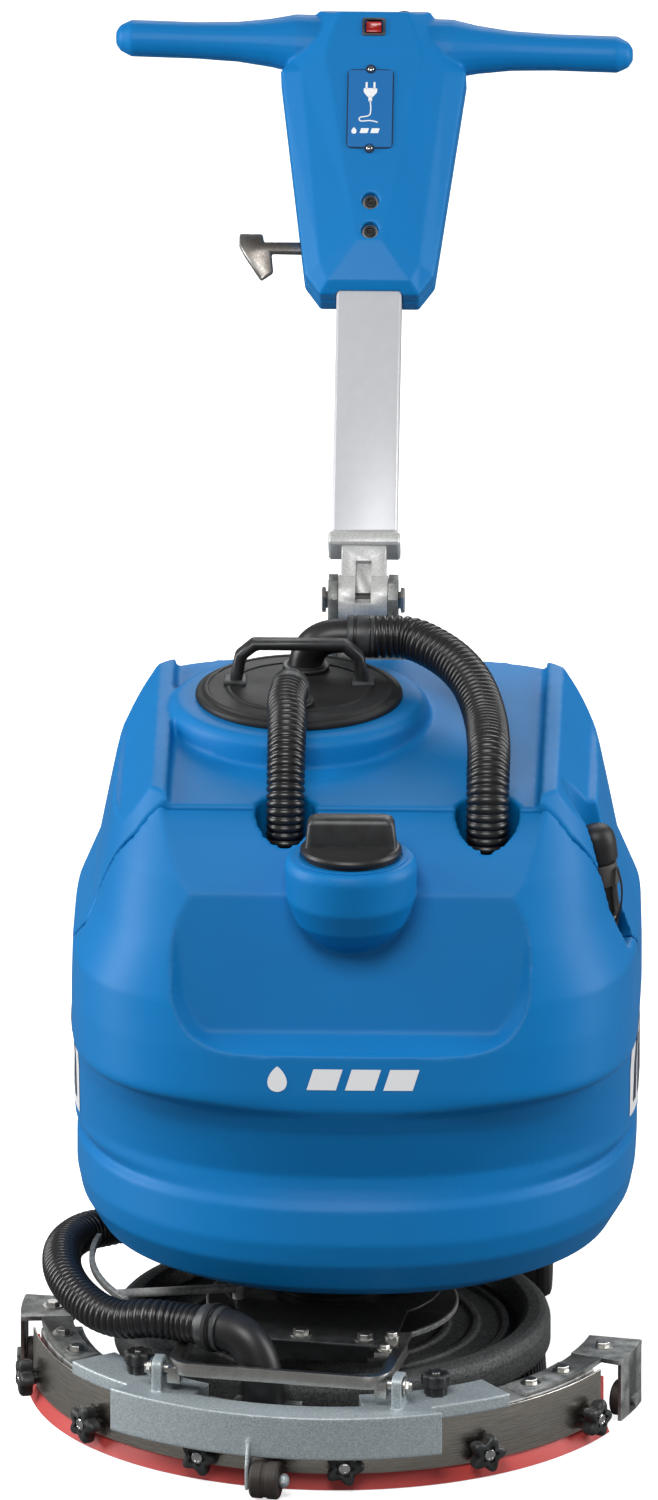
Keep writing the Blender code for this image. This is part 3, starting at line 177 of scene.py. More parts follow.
def edge_wear_highlight_group():
    """Brightens convex edges unevenly and settles dust on upward faces; the brighter edge is wear on metal and black
    parts and a painted edge highlight on the blue mouldings and the white pole.
    """
    tree, given, out = new_group("edge_wear_highlight_and_dust",
        [("Color", "Color", (0.5, 0.5, 0.5, 1)), ("Edge Color", "Color", (0.7, 0.7, 0.7, 1)),
         ("Edge Amount", "Float", 0.6), ("Dust Color", "Color", (0.5, 0.48, 0.45, 1)), ("Dust Amount", "Float", 0.06)],
        [("Color", "Color"), ("Edge Mask", "Float")])
    geometry = node(tree, "NewGeometry")
    at = node(tree, "TexCoord").outputs["Object"]
    patches = node(tree, "TexNoise", Vector=at, Scale=90.0, Detail=4.0).outputs["Fac"]
    edge = ramp(tree, geometry.outputs["Pointiness"], 0.515, 0.58)
    broken = node(tree, "Math", {"operation": "MULTIPLY"}, i0=edge, i1=ramp(tree, patches, 0.35, 0.6, 0.25, 1.0))
    mask = node(tree, "Math", {"operation": "MULTIPLY", "use_clamp": True}, i0=broken.outputs[0],
                i1=given["Edge Amount"]).outputs[0]
    edge_worn_and_lit = node(tree, "Mix", {"data_type": "RGBA"}, Factor=mask, i6=given["Color"], i7=given["Edge Color"])
    up = node(tree, "SeparateXYZ", Vector=geometry.outputs["Normal"]).outputs["Z"]
    settled = node(tree, "Math", {"operation": "MULTIPLY"}, i0=ramp(tree, up, 0.3, 0.95), i1=given["Dust Amount"])
    dusty = node(tree, "Mix", {"data_type": "RGBA"}, Factor=settled.outputs[0], i6=edge_worn_and_lit.outputs[2],
                 i7=given["Dust Color"])
    tree.links.new(dusty.outputs[2], out["Color"])
    tree.links.new(mask, out["Edge Mask"])
    return tree


def speckle_group():
    """Flakes of two tones with a slightly raised skin, as on zinc or foamed plastic."""
    tree, given, out = new_group("speckled_skin",
        [("Flake Size", "Float", 160.0), ("Light", "Color", (0.6, 0.6, 0.6, 1)), ("Dark", "Color", (0.4, 0.4, 0.4, 1)),
         ("Spread", "Float", 0.2), ("Gloss", "Float", 0.35), ("Matt", "Float", 0.6)],
        [("Color", "Color"), ("Roughness", "Float"), ("Height", "Float")])
    at = node(tree, "TexCoord").outputs["Object"]
    flakes = node(tree, "TexVoronoi", {"feature": "F1"}, Vector=at, Scale=given["Flake Size"])
    fine = node(tree, "TexNoise", Vector=at, Scale=given["Flake Size"], Detail=6.0, Roughness=0.75).outputs["Fac"]
    tone = node(tree, "SeparateColor", Color=flakes.outputs["Color"]).outputs[0]
    both = node(tree, "Math", {"operation": "MULTIPLY_ADD"}, i0=tone, i1=0.45, i2=fine).outputs[0]
    low = node(tree, "Math", {"operation": "SUBTRACT"}, i0=0.72, i1=given["Spread"]).outputs[0]
    high = node(tree, "Math", {"operation": "ADD"}, i0=0.72, i1=given["Spread"]).outputs[0]
    mask = ramp(tree, both, low, high)
    colour = node(tree, "Mix", {"data_type": "RGBA"}, Factor=mask, i6=given["Dark"], i7=given["Light"])
    tree.links.new(colour.outputs[2], out["Color"])
    rough = node(tree, "Mix", Factor=mask, i2=given["Matt"], i3=given["Gloss"])
    tree.links.new(rough.outputs[0], out["Roughness"])
    tree.links.new(both, out["Height"])
    return tree


GRAIN, BRUSHED, EDGE_WEAR_HIGHLIGHT, SPECKLE = moulded_grain_group(), brushed_group(), edge_wear_highlight_group(), speckle_group()


# ---------------------------------------------------------------- materials

def rgb(r, g, b):
    """Colour given in 0-255 as seen, turned into the linear values that shading uses."""
    def linear(c):
        c /= 255
        return c / 12.92 if c <= 0.04045 else ((c + 0.055) / 1.055) ** 2.4
    return (linear(r), linear(g), linear(b), 1)


def shade(colour, amount):
    return tuple(min(1, c * amount) for c in colour[:3]) + (1,)


def finish(name, skin, values, bump=0.1, depth=0.0003, edge=None, metallic=0.0, **sockets):
    """Material: a skin group feeds colour, roughness and bump; edge adds brighter edges and dust, the brighter edge
    being a painted highlight on the blue and white parts and wear elsewhere.
    """
    made = bpy.data.materials.new(name)
    made.use_nodes = True
    tree = made.node_tree
    shader = tree.nodes["Principled BSDF"]
    shader.inputs["Metallic"].default_value = metallic
    for key, value in sockets.items():
        shader.inputs[key.replace("_", " ")].default_value = value
    layer = tree.nodes.new("ShaderNodeGroup")
    layer.node_tree = skin
    for key, value in values.items():
        layer.inputs[key.replace("_", " ")].default_value = value
    colour = layer.outputs["Color"]
    if edge:
        edge_worn_and_lit = tree.nodes.new("ShaderNodeGroup")
        edge_worn_and_lit.node_tree = EDGE_WEAR_HIGHLIGHT
        for key, value in edge.items():
            edge_worn_and_lit.inputs[key.replace("_", " ")].default_value = value
        tree.links.new(colour, edge_worn_and_lit.inputs["Color"])
        colour = edge_worn_and_lit.outputs["Color"]
    tree.links.new(colour, shader.inputs["Base Color"])
    tree.links.new(layer.outputs["Roughness"], shader.inputs["Roughness"])
    relief = node(tree, "Bump", Strength=bump, Distance=depth, Height=layer.outputs["Height"])
    tree.links.new(relief.outputs[0], shader.inputs["Normal"])
    made.diffuse_color = values.get("Light", (0.5, 0.5, 0.5, 1))
    return made


def plastic(name, colour, gloss, matt, grain=900.0, bump=0.12, spread=0.94, edge=None, **sockets):
    return finish(name, GRAIN, {"Grain_Size": grain, "Light": colour, "Dark": shade(colour, spread), "Gloss": gloss,
                                "Matt": matt}, bump=bump, edge=edge, **sockets)


def metal(name, light, dark, stretch, gloss, matt, bump=0.08, edge=None, metallic=1.0, **sockets):
    return finish(name, BRUSHED, {"Stretch": stretch, "Light": light, "Dark": dark, "Gloss": gloss, "Matt": matt},
                  bump=bump, depth=0.0001, edge=edge, metallic=metallic, **sockets)


BLUE = rgb(0, 116, 184)
PALE_EDGE = {"Edge_Color": rgb(120, 124, 126), "Edge_Amount": 0.35, "Dust_Amount": 0.02}
BRIGHT_EDGE = {"Edge_Color": rgb(200, 202, 200), "Edge_Amount": 0.9, "Dust_Amount": 0.03}

# The edge colour of both blue mouldings is the lit blue: a painted highlight along their convex edges, not wear.
TANK_BLUE = plastic("tank_blue", BLUE, 0.4, 0.48, grain=520.0, bump=0.22, spread=0.93, Specular_IOR_Level=0.22,
                    edge={"Edge_Color": rgb(50, 150, 220), "Edge_Amount": 0.25, "Dust_Amount": 0.01})
HEAD_BLUE = plastic("handle_blue", BLUE, 0.38, 0.46, grain=900.0, bump=0.14, Specular_IOR_Level=0.22,
                    edge={"Edge_Color": rgb(50, 150, 220), "Edge_Amount": 0.2, "Dust_Amount": 0.01})
LID_BLACK = plastic("lid_black", rgb(24, 25, 27), 0.4, 0.52, grain=1100.0, edge=PALE_EDGE, Specular_IOR_Level=0.3)
SATIN_BLACK = plastic("satin_black", rgb(22, 22, 24), 0.3, 0.42, grain=1300.0, edge=PALE_EDGE)
KNOB_BLACK = plastic("knob_black", rgb(20, 20, 21), 0.34, 0.5, grain=1500.0, bump=0.2, edge=PALE_EDGE)
HOSE_BLACK = plastic("hose_black", rgb(20, 20, 22), 0.2, 0.3, grain=700.0, bump=0.05,
                     edge={"Edge_Color": rgb(58, 58, 60), "Edge_Amount": 0.3, "Dust_Amount": 0.02})
RUBBER = plastic("seal_rubber", rgb(30, 30, 31), 0.6, 0.75, grain=600.0, bump=0.2)
TYRE = plastic("tyre_rubber", rgb(44, 44, 46), 0.65, 0.8, grain=500.0, bump=0.25,
               edge={"Edge_Color": rgb(90, 88, 85), "Edge_Amount": 0.4, "Dust_Amount": 0.08})
ROLLER = plastic("roller_brown", rgb(52, 44, 40), 0.5, 0.65, grain=400.0, bump=0.2, spread=0.75,
                 edge={"Edge_Color": rgb(110, 100, 92), "Edge_Amount": 0.5, "Dust_Amount": 0.05})
BRISTLE = plastic("bristle_nylon", rgb(38, 40, 44), 0.35, 0.5, grain=300.0, bump=0.05, spread=0.7)
RED_BLADE = plastic("red_polyurethane", rgb(205, 74, 70), 0.4, 0.55, grain=350.0, bump=0.08, spread=0.86,
                    Subsurface_Weight=0.15, Subsurface_Radius=(0.006, 0.002, 0.0015))
RED_SWITCH = plastic("switch_red", rgb(170, 22, 20), 0.18, 0.3, grain=1500.0, bump=0.03, Coat_Weight=0.4)
FLOAT_RED = plastic("float_red", rgb(185, 40, 34), 0.3, 0.4, grain=800.0)
PANEL_BLUE = plastic("label_blue", rgb(10, 104, 170), 0.3, 0.38, grain=1200.0, bump=0.04, spread=0.97)
PANEL_DARK = plastic("label_border", rgb(8, 36, 66), 0.35, 0.45, grain=1200.0, bump=0.04)
INK_WHITE = plastic("ink_white", rgb(236, 238, 240), 0.35, 0.45, grain=1200.0, bump=0.04, spread=0.97)
CUFF_GREY = plastic("cuff_grey", rgb(74, 70, 66), 0.5, 0.6, grain=600.0, bump=0.2, spread=0.8)
STEEL_EDGE = {"Edge_Color": rgb(235, 233, 228), "Edge_Amount": 0.5, "Dust_Amount": 0.03}
STAINLESS = metal("stainless_band", rgb(214, 208, 198), rgb(150, 144, 136), (45.0, 45.0, 1900.0), 0.2, 0.34,
                  edge=STEEL_EDGE, Anisotropic=0.5)
BOW_SILVER = metal("silver_bar", rgb(196, 194, 190), rgb(140, 138, 134), (700.0, 60.0, 1500.0), 0.26, 0.4,
                   edge=STEEL_EDGE)
ZINC_BOLT = metal("zinc_fastener", rgb(188, 188, 184), rgb(120, 120, 118), (300.0, 300.0, 300.0), 0.28, 0.45,
                  edge=STEEL_EDGE)
LEVER_GREY = metal("lever_grey", rgb(150, 144, 138), rgb(116, 110, 104), (500.0, 500.0, 500.0), 0.36, 0.5,
                   edge=BRIGHT_EDGE)
CHROME = metal("bright_chrome", rgb(225, 225, 226), rgb(190, 190, 192), (200.0, 200.0, 200.0), 0.08, 0.16, bump=0.02)
CAST_GREY = finish("cast_bracket", SPECKLE, {"Flake_Size": 900.0, "Light": rgb(196, 197, 195),
                   "Dark": rgb(172, 173, 172), "Gloss": 0.36, "Matt": 0.46}, bump=0.08, edge=STEEL_EDGE, metallic=0.2)
GALVANISED = finish("galvanised_casting", SPECKLE, {"Flake_Size": 1000.0, "Light": rgb(196, 206, 210),
                    "Dark": rgb(142, 154, 158), "Spread": 0.34, "Gloss": 0.36, "Matt": 0.55}, bump=0.3, depth=0.0004,
                    edge=STEEL_EDGE, metallic=0.35)
DARK_COAT = finish("dark_powder_coat", SPECKLE, {"Flake_Size": 900.0, "Light": rgb(96, 98, 95),
                   "Dark": rgb(66, 68, 66), "Gloss": 0.4, "Matt": 0.55}, bump=0.12, edge=BRIGHT_EDGE, metallic=0.35)
FRAME_BLACK = finish("frame_black", SPECKLE, {"Flake_Size": 1000.0, "Light": rgb(40, 41, 42),
                     "Dark": rgb(24, 25, 26), "Gloss": 0.35, "Matt": 0.5}, bump=0.12, edge=PALE_EDGE, metallic=0.2)
FOAM_BLACK = finish("structural_foam", SPECKLE, {"Flake_Size": 700.0, "Light": rgb(84, 86, 86),
                    "Dark": rgb(30, 31, 32), "Spread": 0.3, "Gloss": 0.45, "Matt": 0.7}, bump=0.4, depth=0.0006,
                    edge=PALE_EDGE)
GUARD_GREY = finish("guard_grey", SPECKLE, {"Flake_Size": 800.0, "Light": rgb(176, 178, 176),
                    "Dark": rgb(96, 99, 97), "Spread": 0.26, "Gloss": 0.5, "Matt": 0.7}, bump=0.4, depth=0.0005,
                    edge=STEEL_EDGE, metallic=0.3)
# The near-white edge colour is a painted highlight along the pole's convex edges.
POLE_WHITE = finish("pole_white", GRAIN, {"Grain_Size": 1600.0, "Light": rgb(196, 197, 200),
                    "Dark": rgb(188, 189, 193), "Gloss": 0.26, "Matt": 0.34}, bump=0.05,
                    edge={"Edge_Color": rgb(250, 250, 250), "Edge_Amount": 0.4, "Dust_Amount": 0.02}, metallic=0.15)


# ---------------------------------------------------------------- shape tools

def piece(name, bm, material, body, at=MACHINE, stands_for=(), sharp=35):
    """Object from a shape in millimetres, placed by one of the three frames and riding on a body."""
    bmesh.ops.recalc_face_normals(bm, faces=bm.faces)
    bmesh.ops.transform(bm, matrix=at @ MM, verts=bm.verts)
    mesh = bpy.data.meshes.new(name)
    bm.to_mesh(mesh)
    bm.free()
    obj = bpy.data.objects.new(name, mesh)
    bpy.context.scene.collection.objects.link(obj)
    settle(obj, material, body, stands_for, sharp)
    return obj


def settle(obj, material, body, stands_for=(), sharp=35):
    obj.data.materials.clear()
    obj.data.materials.append(material)
    obj.data.shade_smooth()
    if sharp:
        obj.data.set_sharp_from_angle(angle=math.radians(sharp))
    if body:
        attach(obj, body)
    if stands_for:
        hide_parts(*stands_for)


def bake(obj):
    """Applies all modifiers of an object to its mesh."""
    bpy.context.view_layer.update()
    seen = obj.evaluated_get(bpy.context.evaluated_depsgraph_get())
    mesh = bpy.data.meshes.new_from_object(seen)
    obj.modifiers.clear()
    obj.data = mesh
    return obj


def loose(bm):
    """Working object in plain millimetres, in no frame yet."""
    bmesh.ops.recalc_face_normals(bm, faces=bm.faces)
    mesh = bpy.data.meshes.new("working")
    bm.to_mesh(mesh)
    bm.free()
    obj = bpy.data.objects.new("working", mesh)
    bpy.context.scene.collection.objects.link(obj)
    return obj


def combine(obj, operation, *shapes):
    for shape in shapes:
        other = shape if isinstance(shape, bpy.types.Object) else loose(shape)
        modifier = obj.modifiers.new("boolean", "BOOLEAN")
        modifier.operation = operation
        modifier.object = other
        modifier.solver = "MANIFOLD"
        bake(obj)
        bpy.data.objects.remove(other)
    return obj


def soften(obj, voxel, rounds, factor=0.5, keep=0.0):
    """Remeshes evenly and rounds every edge a little, as a mould does."""
    remesh = obj.modifiers.new("remesh", "REMESH")
    remesh.mode = "VOXEL"
    remesh.voxel_size = voxel
    remesh.adaptivity = keep
    smooth = obj.modifiers.new("smooth", "SMOOTH")
    smooth.factor = factor
    smooth.iterations = rounds
    return bake(obj)


def place_working(obj, name, material, body, at=MACHINE, stands_for=(), sharp=0):
    obj.name = obj.data.name = name
    obj.data.transform(at @ MM)
    settle(obj, material, body, stands_for, sharp)
    return obj


def from_node(name, material, sharp=35, bevel=0.0, segments=2, new_name=None):
    """Copy of a CAD node with its edges rounded, standing for that node."""
    source = frame["nodes"][name]
    body = source["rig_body"]
    obj = bpy.data.objects.new(new_name or name + "_shell", source.data.copy())
    bpy.context.scene.collection.objects.link(obj)
    bm = bmesh.new()
    bm.from_mesh(obj.data)
    bmesh.ops.remove_doubles(bm, verts=bm.verts, dist=0.00002)
    bmesh.ops.dissolve_limit(bm, angle_limit=math.radians(1.0), verts=bm.verts, edges=bm.edges)
    bm.to_mesh(obj.data)
    bm.free()
    if bevel:
        edge = obj.modifiers.new("edge", "BEVEL")
        edge.width = bevel * 0.001
        edge.segments = segments
        edge.limit_method = "ANGLE"
        edge.angle_limit = math.radians(28)
        edge.harden_normals = True
        bake(obj)
    settle(obj, material, body, (name,), sharp)
    return obj


def repaint(name, material):
    """A CAD node whose shape is right keeps it and takes a finished material."""
    mesh = frame["nodes"][name].data
    mesh.materials.clear()
    mesh.materials.append(material)


def loft(rings, caps=True, closed=False):
    bm = bmesh.new()
    loops = [[bm.verts.new(p) for p in ring] for ring in rings]
    pairs = list(zip(loops, loops[1:])) + ([(loops[-1], loops[0])] if closed else [])
    for low, high in pairs:
        for i in range(len(low)):
            j = (i + 1) % len(low)
            bm.faces.new((low[i], low[j], high[j], high[i]))
    if caps and not closed:
        bm.faces.new(loops[0][::-1])
        bm.faces.new(loops[-1])
    return bm


def prism(outline, low, high, axis="Z"):
    at = {"Z": lambda a, b, c: (a, b, c), "Y": lambda a, b, c: (a, c, b), "X": lambda a, b, c: (c, a, b)}[axis]
    return loft([[at(a, b, level) for a, b in outline] for level in (low, high)])


def box(x, y, z, bevel=0.0, segments=2):
    bm = prism([(x[0], y[0]), (x[1], y[0]), (x[1], y[1]), (x[0], y[1])], *z)
    if bevel:
        bmesh.ops.bevel(bm, geom=bm.edges[:], offset=bevel, segments=segments, affect="EDGES", profile=0.5)
    return bm


def eased(points, radius, steps=4, closed=True):
    """Outline with its corners rounded."""
    count = len(points)
    out = []
    for k, point in enumerate(points):
        if not closed and k in (0, count - 1):
            out.append(point)
            continue
        here = Vector(point)
        before, after = Vector(points[k - 1]) - here, Vector(points[(k + 1) % count]) - here
        reach = min(radius, before.length * 0.45, after.length * 0.45)
        if reach < 0.05 or before.normalized().dot(after.normalized()) < -0.985:
            out.append(point)
            continue
        a, b = here + before.normalized() * reach, here + after.normalized() * reach
        for n in range(steps + 1):
            t = n / steps
            out.append(tuple((1 - t) ** 2 * a + 2 * t * (1 - t) * here + t * t * b))
    return out


def turned(profile, segments=96, closed=False):
    bm = bmesh.new()
    loops = []
    for radius, height in profile:
        if radius <= 1e-6:
            loops.append([bm.verts.new((0, 0, height))])
            continue
        loops.append([bm.verts.new((radius * math.cos(math.tau * k / segments),
                                    radius * math.sin(math.tau * k / segments), height)) for k in range(segments)])
    pairs = list(zip(loops, loops[1:])) + ([(loops[-1], loops[0])] if closed else [])
    for low, high in pairs:
        for i in range(segments):
            j = (i + 1) % segments
            corners = list(dict.fromkeys([low[i % len(low)], low[j % len(low)], high[j % len(high)],
                                          high[i % len(high)]]))
            if len(corners) > 2:
                bm.faces.new(corners)
    return bm


def lathe(profile, radius=1.0, segments=96, closed=False):
    return turned(eased(profile, radius, closed=closed), segments, closed)


def rod(radius, low, high, segments=48):
    return turned([(0, low), (radius, low), (radius, high), (0, high)], segments)


def moved(bm, at=(0, 0, 0), turn=None):
    if turn:
        bmesh.ops.transform(bm, matrix=Matrix.Rotation(math.radians(turn[1]), 4, turn[0]), verts=bm.verts)
    bmesh.ops.translate(bm, vec=Vector(at), verts=bm.verts)
    return bm


def aimed(bm, at, way):
    """Shape drawn along Z, turned to point along way and moved to at."""
    matrix = Matrix.Translation(Vector(at)) @ Vector(way).to_track_quat("Z", "Y").to_matrix().to_4x4()
    bmesh.ops.transform(bm, matrix=matrix, verts=bm.verts)
    return bm


def between(radius, start, end, segments=48):
    start, end = Vector(start), Vector(end)
    return aimed(rod(radius, 0, (end - start).length, segments), start, end - start)


def merged(*shapes):
    """Several shapes in one mesh, side by side."""
    whole = bmesh.new()
    for shape in shapes:
        mesh = bpy.data.meshes.new("part_of_shape")
        shape.to_mesh(mesh)
        shape.free()
        whole.from_mesh(mesh)
        bpy.data.meshes.remove(mesh)
    return whole


def on_arc(angle, radius, z=0.0):
    a = math.radians(angle)
    return Vector((radius * math.sin(a), ARC_Y - radius * math.cos(a), z))


def arc_way(angle):
    return on_arc(angle, 1) - on_arc(angle, 0)


def arc_bar(section, start, end, step=1.5):
    count = max(2, round(abs(end - start) / step))
    return loft([[on_arc(start + (end - start) * k / count, r, z) for r, z in section] for k in range(count + 1)])


def ring_section(r, z, radius=0.6):
    return eased([(r[0], z[0]), (r[1], z[0]), (r[1], z[1]), (r[0], z[1])], radius, 3)


def smooth_route(points, spacing):
    points = [Vector(p) for p in points]
    points = [2 * points[0] - points[1], *points, 2 * points[-1] - points[-2]]
    fine = []
    for a, b, c, d in zip(points, points[1:], points[2:], points[3:]):
        for k in range(24):
            t = k / 24
            fine.append(0.5 * (2 * b + (c - a) * t + (2 * a - 5 * b + 4 * c - d) * t * t
                               + (3 * b - a - 3 * c + d) * t ** 3))
    fine.append(points[-2])
    runs = [(q - p).length for p, q in zip(fine, fine[1:])]
    count = max(2, round(sum(runs) / spacing))
    route, walked, k = [fine[0]], 0.0, 0
    for n in range(1, count):
        target = sum(runs) * n / count
        while walked + runs[k] < target:
            walked += runs[k]
            k += 1
        route.append(fine[k].lerp(fine[k + 1], (target - walked) / runs[k]))
    return route + [fine[-1]]


def ribbed_tube(points, radius, pitch=6.5, depth=2.4, segments=40):
    """Hose with rounded ribs along a route; the ribs' crests are at the radius."""
    route = smooth_route(points, pitch / 8)
    rings, side = [], Vector((0.3, 1, 0.2))
    for k, point in enumerate(route):
        run = (route[min(k + 1, len(route) - 1)] - route[max(k - 1, 0)]).normalized()
        side = (side - run * side.dot(run)).normalized()
        up = run.cross(side)
        wave = abs(math.cos(math.pi * (k % 8) / 8))
        r = radius - depth * (1 - wave ** 0.6)
        rings.append([point + r * (side * math.cos(a) + up * math.sin(a))
                      for a in (math.tau * n / segments for n in range(segments))])
    return loft(rings)


def bend_tube(start, corner, end, radius, cuff, cuff_length, segments=48):
    """Elbow with a stepped, ribbed cuff over its far end."""
    start, corner, end = Vector(start), Vector(corner), Vector(end)
    rings = []

    def ring(point, run, r):
        side = run.cross(Vector((0.3, 1, 0.2))).normalized()
        up = side.cross(run).normalized()
        rings.append([point + r * (side * math.cos(a) + up * math.sin(a))
                      for a in (math.tau * n / segments for n in range(segments))])
    ring(start, corner - start, radius + 1.5)
    ring(start + (corner - start).normalized() * 4, corner - start, radius + 1.5)
    ring(start + (corner - start).normalized() * 4.6, corner - start, radius)
    for k in range(2, 15):
        t = k / 14
        ring((1 - t) ** 2 * start + 2 * t * (1 - t) * corner + t * t * end,
             (1 - t) * (corner - start) + t * (end - corner), radius)
    way = (end - corner).normalized()
    for share, r in ((0.02, cuff - 0.8), (0.08, cuff), (0.22, cuff), (0.25, cuff - 1), (0.32, cuff - 1), (0.35, cuff),
                     (0.9, cuff), (0.97, cuff - 0.6), (1.0, cuff - 1.6)):
        ring(end + way * cuff_length * share, way, r)
    return loft(rings)


# ---------------------------------------------------------------- camera, light and floor

def set_camera():
    turn, tilt, distance, tall = math.radians(1.49), math.radians(20.0), 60.0, 1.3286
    aim = MACHINE @ MM @ Vector((-23, 0, 603.2))
    ahead = Vector((-math.sin(turn) * math.cos(tilt), math.cos(turn) * math.cos(tilt), -math.sin(tilt)))
    camera = bpy.data.objects.new("camera", bpy.data.cameras.new("camera"))
    bpy.context.scene.collection.objects.link(camera)
    camera.data.sensor_fit = "VERTICAL"
    camera.data.sensor_height = 36
    camera.data.lens = 36 * distance / tall
    camera.data.clip_end = 120
    camera.location = aim - ahead * distance
    camera.rotation_euler = ahead.to_track_quat("-Z", "Y").to_euler()
    bpy.context.scene.camera = camera


def soft_light(name, at, towards, size, power):
    light = bpy.data.objects.new(name, bpy.data.lights.new(name, "AREA"))
    bpy.context.scene.collection.objects.link(light)
    light.data.shape = "RECTANGLE"
    light.data.size, light.data.size_y = size
    light.data.energy = power
    light.location = at
    light.rotation_euler = (Vector(towards) - Vector(at)).to_track_quat("-Z", "Y").to_euler()


def set_studio():
    world = bpy.data.worlds.new("studio")
    world.use_nodes = True
    world.node_tree.nodes["Background"].inputs["Color"].default_value = (0.97, 0.985, 1.0, 1)
    world.node_tree.nodes["Background"].inputs["Strength"].default_value = 0.17
    bpy.context.scene.world = world
    bpy.context.scene.view_settings.view_transform = "Standard"
    soft_light("key", (-0.4, -3.0, 3.5), (0, 0, 0.45), (2.0, 1.4), 108)
    soft_light("left_side", (-3.1, -0.1, 1.5), (0, 0, 0.5), (1.2, 2.4), 100)
    soft_light("right_side", (3.1, 0.0, 1.5), (0, 0, 0.5), (1.2, 2.4), 78)
    soft_light("low_front", (0.6, -3.6, 0.7), (0, -0.2, 0.2), (2.0, 0.5), 4)
    soft_light("back", (0.4, 3.2, 2.4), (0, 0, 0.6), (2.2, 1.4), 40)
    mesh = bpy.data.meshes.new("floor")
    mesh.from_pydata([(-30, -30, -0.0006), (30, -30, -0.0006), (30, 30, -0.0006), (-30, 30, -0.0006)], [],
                     [(0, 1, 2, 3)])
    floor = bpy.data.objects.new("floor", mesh)
    bpy.context.scene.collection.objects.link(floor)
    pale = finish("studio_floor", GRAIN, {"Grain_Size": 40.0, "Cloud_Size": 0.7, "Light": (0.93, 0.93, 0.93, 1),
                  "Dark": (0.91, 0.91, 0.91, 1), "Gloss": 0.8, "Matt": 0.9}, bump=0.01, Specular_IOR_Level=0.2)
    tree = pale.node_tree
    shader = tree.nodes["Principled BSDF"]
    seen = node(tree, "LightPath").outputs["Is Camera Ray"]
    clouds = shader.inputs["Base Color"].links[0].from_socket
    tone = node(tree, "Mix", {"data_type": "RGBA"}, Factor=seen, i6=(0.2, 0.2, 0.2, 1), i7=clouds)
    tree.links.new(tone.outputs[2], shader.inputs["Base Color"])
    shader.inputs["Emission Color"].default_value = (1, 1, 1, 1)
    glow = node(tree, "Math", {"operation": "MULTIPLY"}, i0=seen, i1=0.66)
    tree.links.new(glow.outputs[0], shader.inputs["Emission Strength"])
    floor.data.materials.append(pale)


# ---------------------------------------------------------------- tanks

def top_z(y):
    return TOP_Z + TOP_SLOPE * (y - TOP_Y)


HULL = ((SKIRT_Z, 56, 49, 18), (SKIRT_Z + 15, 24, 21, 8), (SKIRT_Z + 42, 8, 6, 3), (SKIRT_Z + 62, 4, 4, 0),
        (SKIRT_Z + 92, 4, 12, 0), (SKIRT_Z + 98, 10, 17, 5), (SKIRT_Z + 108, 2, 22, 0), (SKIRT_Z + 119, 2, 25, 0),
        (LEDGE_Z - 78, 2, 14, 0), (LEDGE_Z - 50, 1, 0, 0), (LEDGE_Z - 36, 0, 2, 0), (LEDGE_Z, 0, 11, 0),
        (LEDGE_Z + 38, 1, 23, 4), (LEDGE_Z + 84, 20, 39, 14), (LEDGE_Z + 136, 30, 67, 24),
        (LEDGE_Z + 166, 36, 89, 30), (LEDGE_Z + 201, 44, 117, 42), (LEDGE_Z + 222, 49, 133, 52),
        (LEDGE_Z + 270, 54, 140, 66))


def fullness(z):
    """How square the front of the plan outline is: round below the ledge, squarer above it."""
    return float(np.interp(z, (LEDGE_Z - 56, LEDGE_Z - 44), (2.3, 3.4)))


def hull_ring(z, half_width, front, rear, points=180):
    ring = []
    for k in range(points):
        a = math.tau * (k + 0.5) / points
        c, s = math.cos(a), math.sin(a)
        power = 2 / fullness(z) if s < 0 else 2 / 4.5
        depth = BODY_MID_Y - front if s < 0 else rear - BODY_MID_Y
        ring.append((half_width * math.copysign(abs(c) ** power, c),
                     BODY_MID_Y + depth * math.copysign(abs(s) ** power, s), z))
    return ring


def hull_sizes(z):
    levels = np.array(HULL, float)
    return [float(np.interp(z, levels[:, 0], levels[:, k])) for k in (1, 2, 3)]


def hull():
    rings = []
    for (low, *_), (high, *_) in zip(HULL, HULL[1:]):
        for k in range(3):
            z = low + (high - low) * k / 3
            side, front, rear = hull_sizes(z)
            rings.append(hull_ring(z, BODY_HALF_WIDTH - side, BODY_FRONT + front, BODY_REAR - rear))
    side, front, rear = HULL[-1][1:]
    rings.append(hull_ring(HULL[-1][0], BODY_HALF_WIDTH - side, BODY_FRONT + front, BODY_REAR - rear))
    return loft(rings)


def hull_front(x, z):
    """Where the front skin is at a height, this far from the middle."""
    side, front, _ = hull_sizes(z)
    share = min(0.98, abs(x) / (BODY_HALF_WIDTH - side)) ** fullness(z)
    return BODY_MID_Y - (BODY_MID_Y - BODY_FRONT - front) * (1 - share) ** (1 / fullness(z))


def cavity(levels, rear):
    return loft([hull_ring(z, BODY_HALF_WIDTH - side, front, rear, 60) for z, side, front in levels])


def above_top():
    shoulder = RIB_INNER + 3
    half = [(RIB_INNER, 0), (shoulder, RIB_HEIGHT), (shoulder + RIB_TOP, RIB_HEIGHT),
            (BODY_HALF_WIDTH - 46, -25), (BODY_HALF_WIDTH + 70, -25), (BODY_HALF_WIDTH + 70, 300)]
    outline = half + [(-x, h) for x, h in reversed(half)]
    return loft([[(x, y, h + top_z(y)) for x, h in outline] for y in (-400, 400)])


def seam_line(shift=0.0):
    steps = [(SEAM_Y, 900), (SEAM_Y, TOP_Z - 27), (SEAM_Y + 40, LEDGE_Z + 88),
             (SEAM_Y + 40, LEDGE_Z + 62), (BODY_MID_Y, PARTING_Z), (500, PARTING_Z)]
    return [(y + shift, z + shift) for y, z in steps]


def behind_seam(shift=0.0):
    return prism([*seam_line(shift), (500, 900 + shift)], -400, 400, axis="X")


def front_of_seam(shift=0.0):
    return prism([*seam_line(shift), (500, -50), (-400, -50), (-400, 900 + shift)], -400, 400, axis="X")


def rear_channel():
    return box((-CHANNEL_HALF_WIDTH, CHANNEL_HALF_WIDTH), (CHANNEL_Y, 400), (DECK_Z - 68, 800))


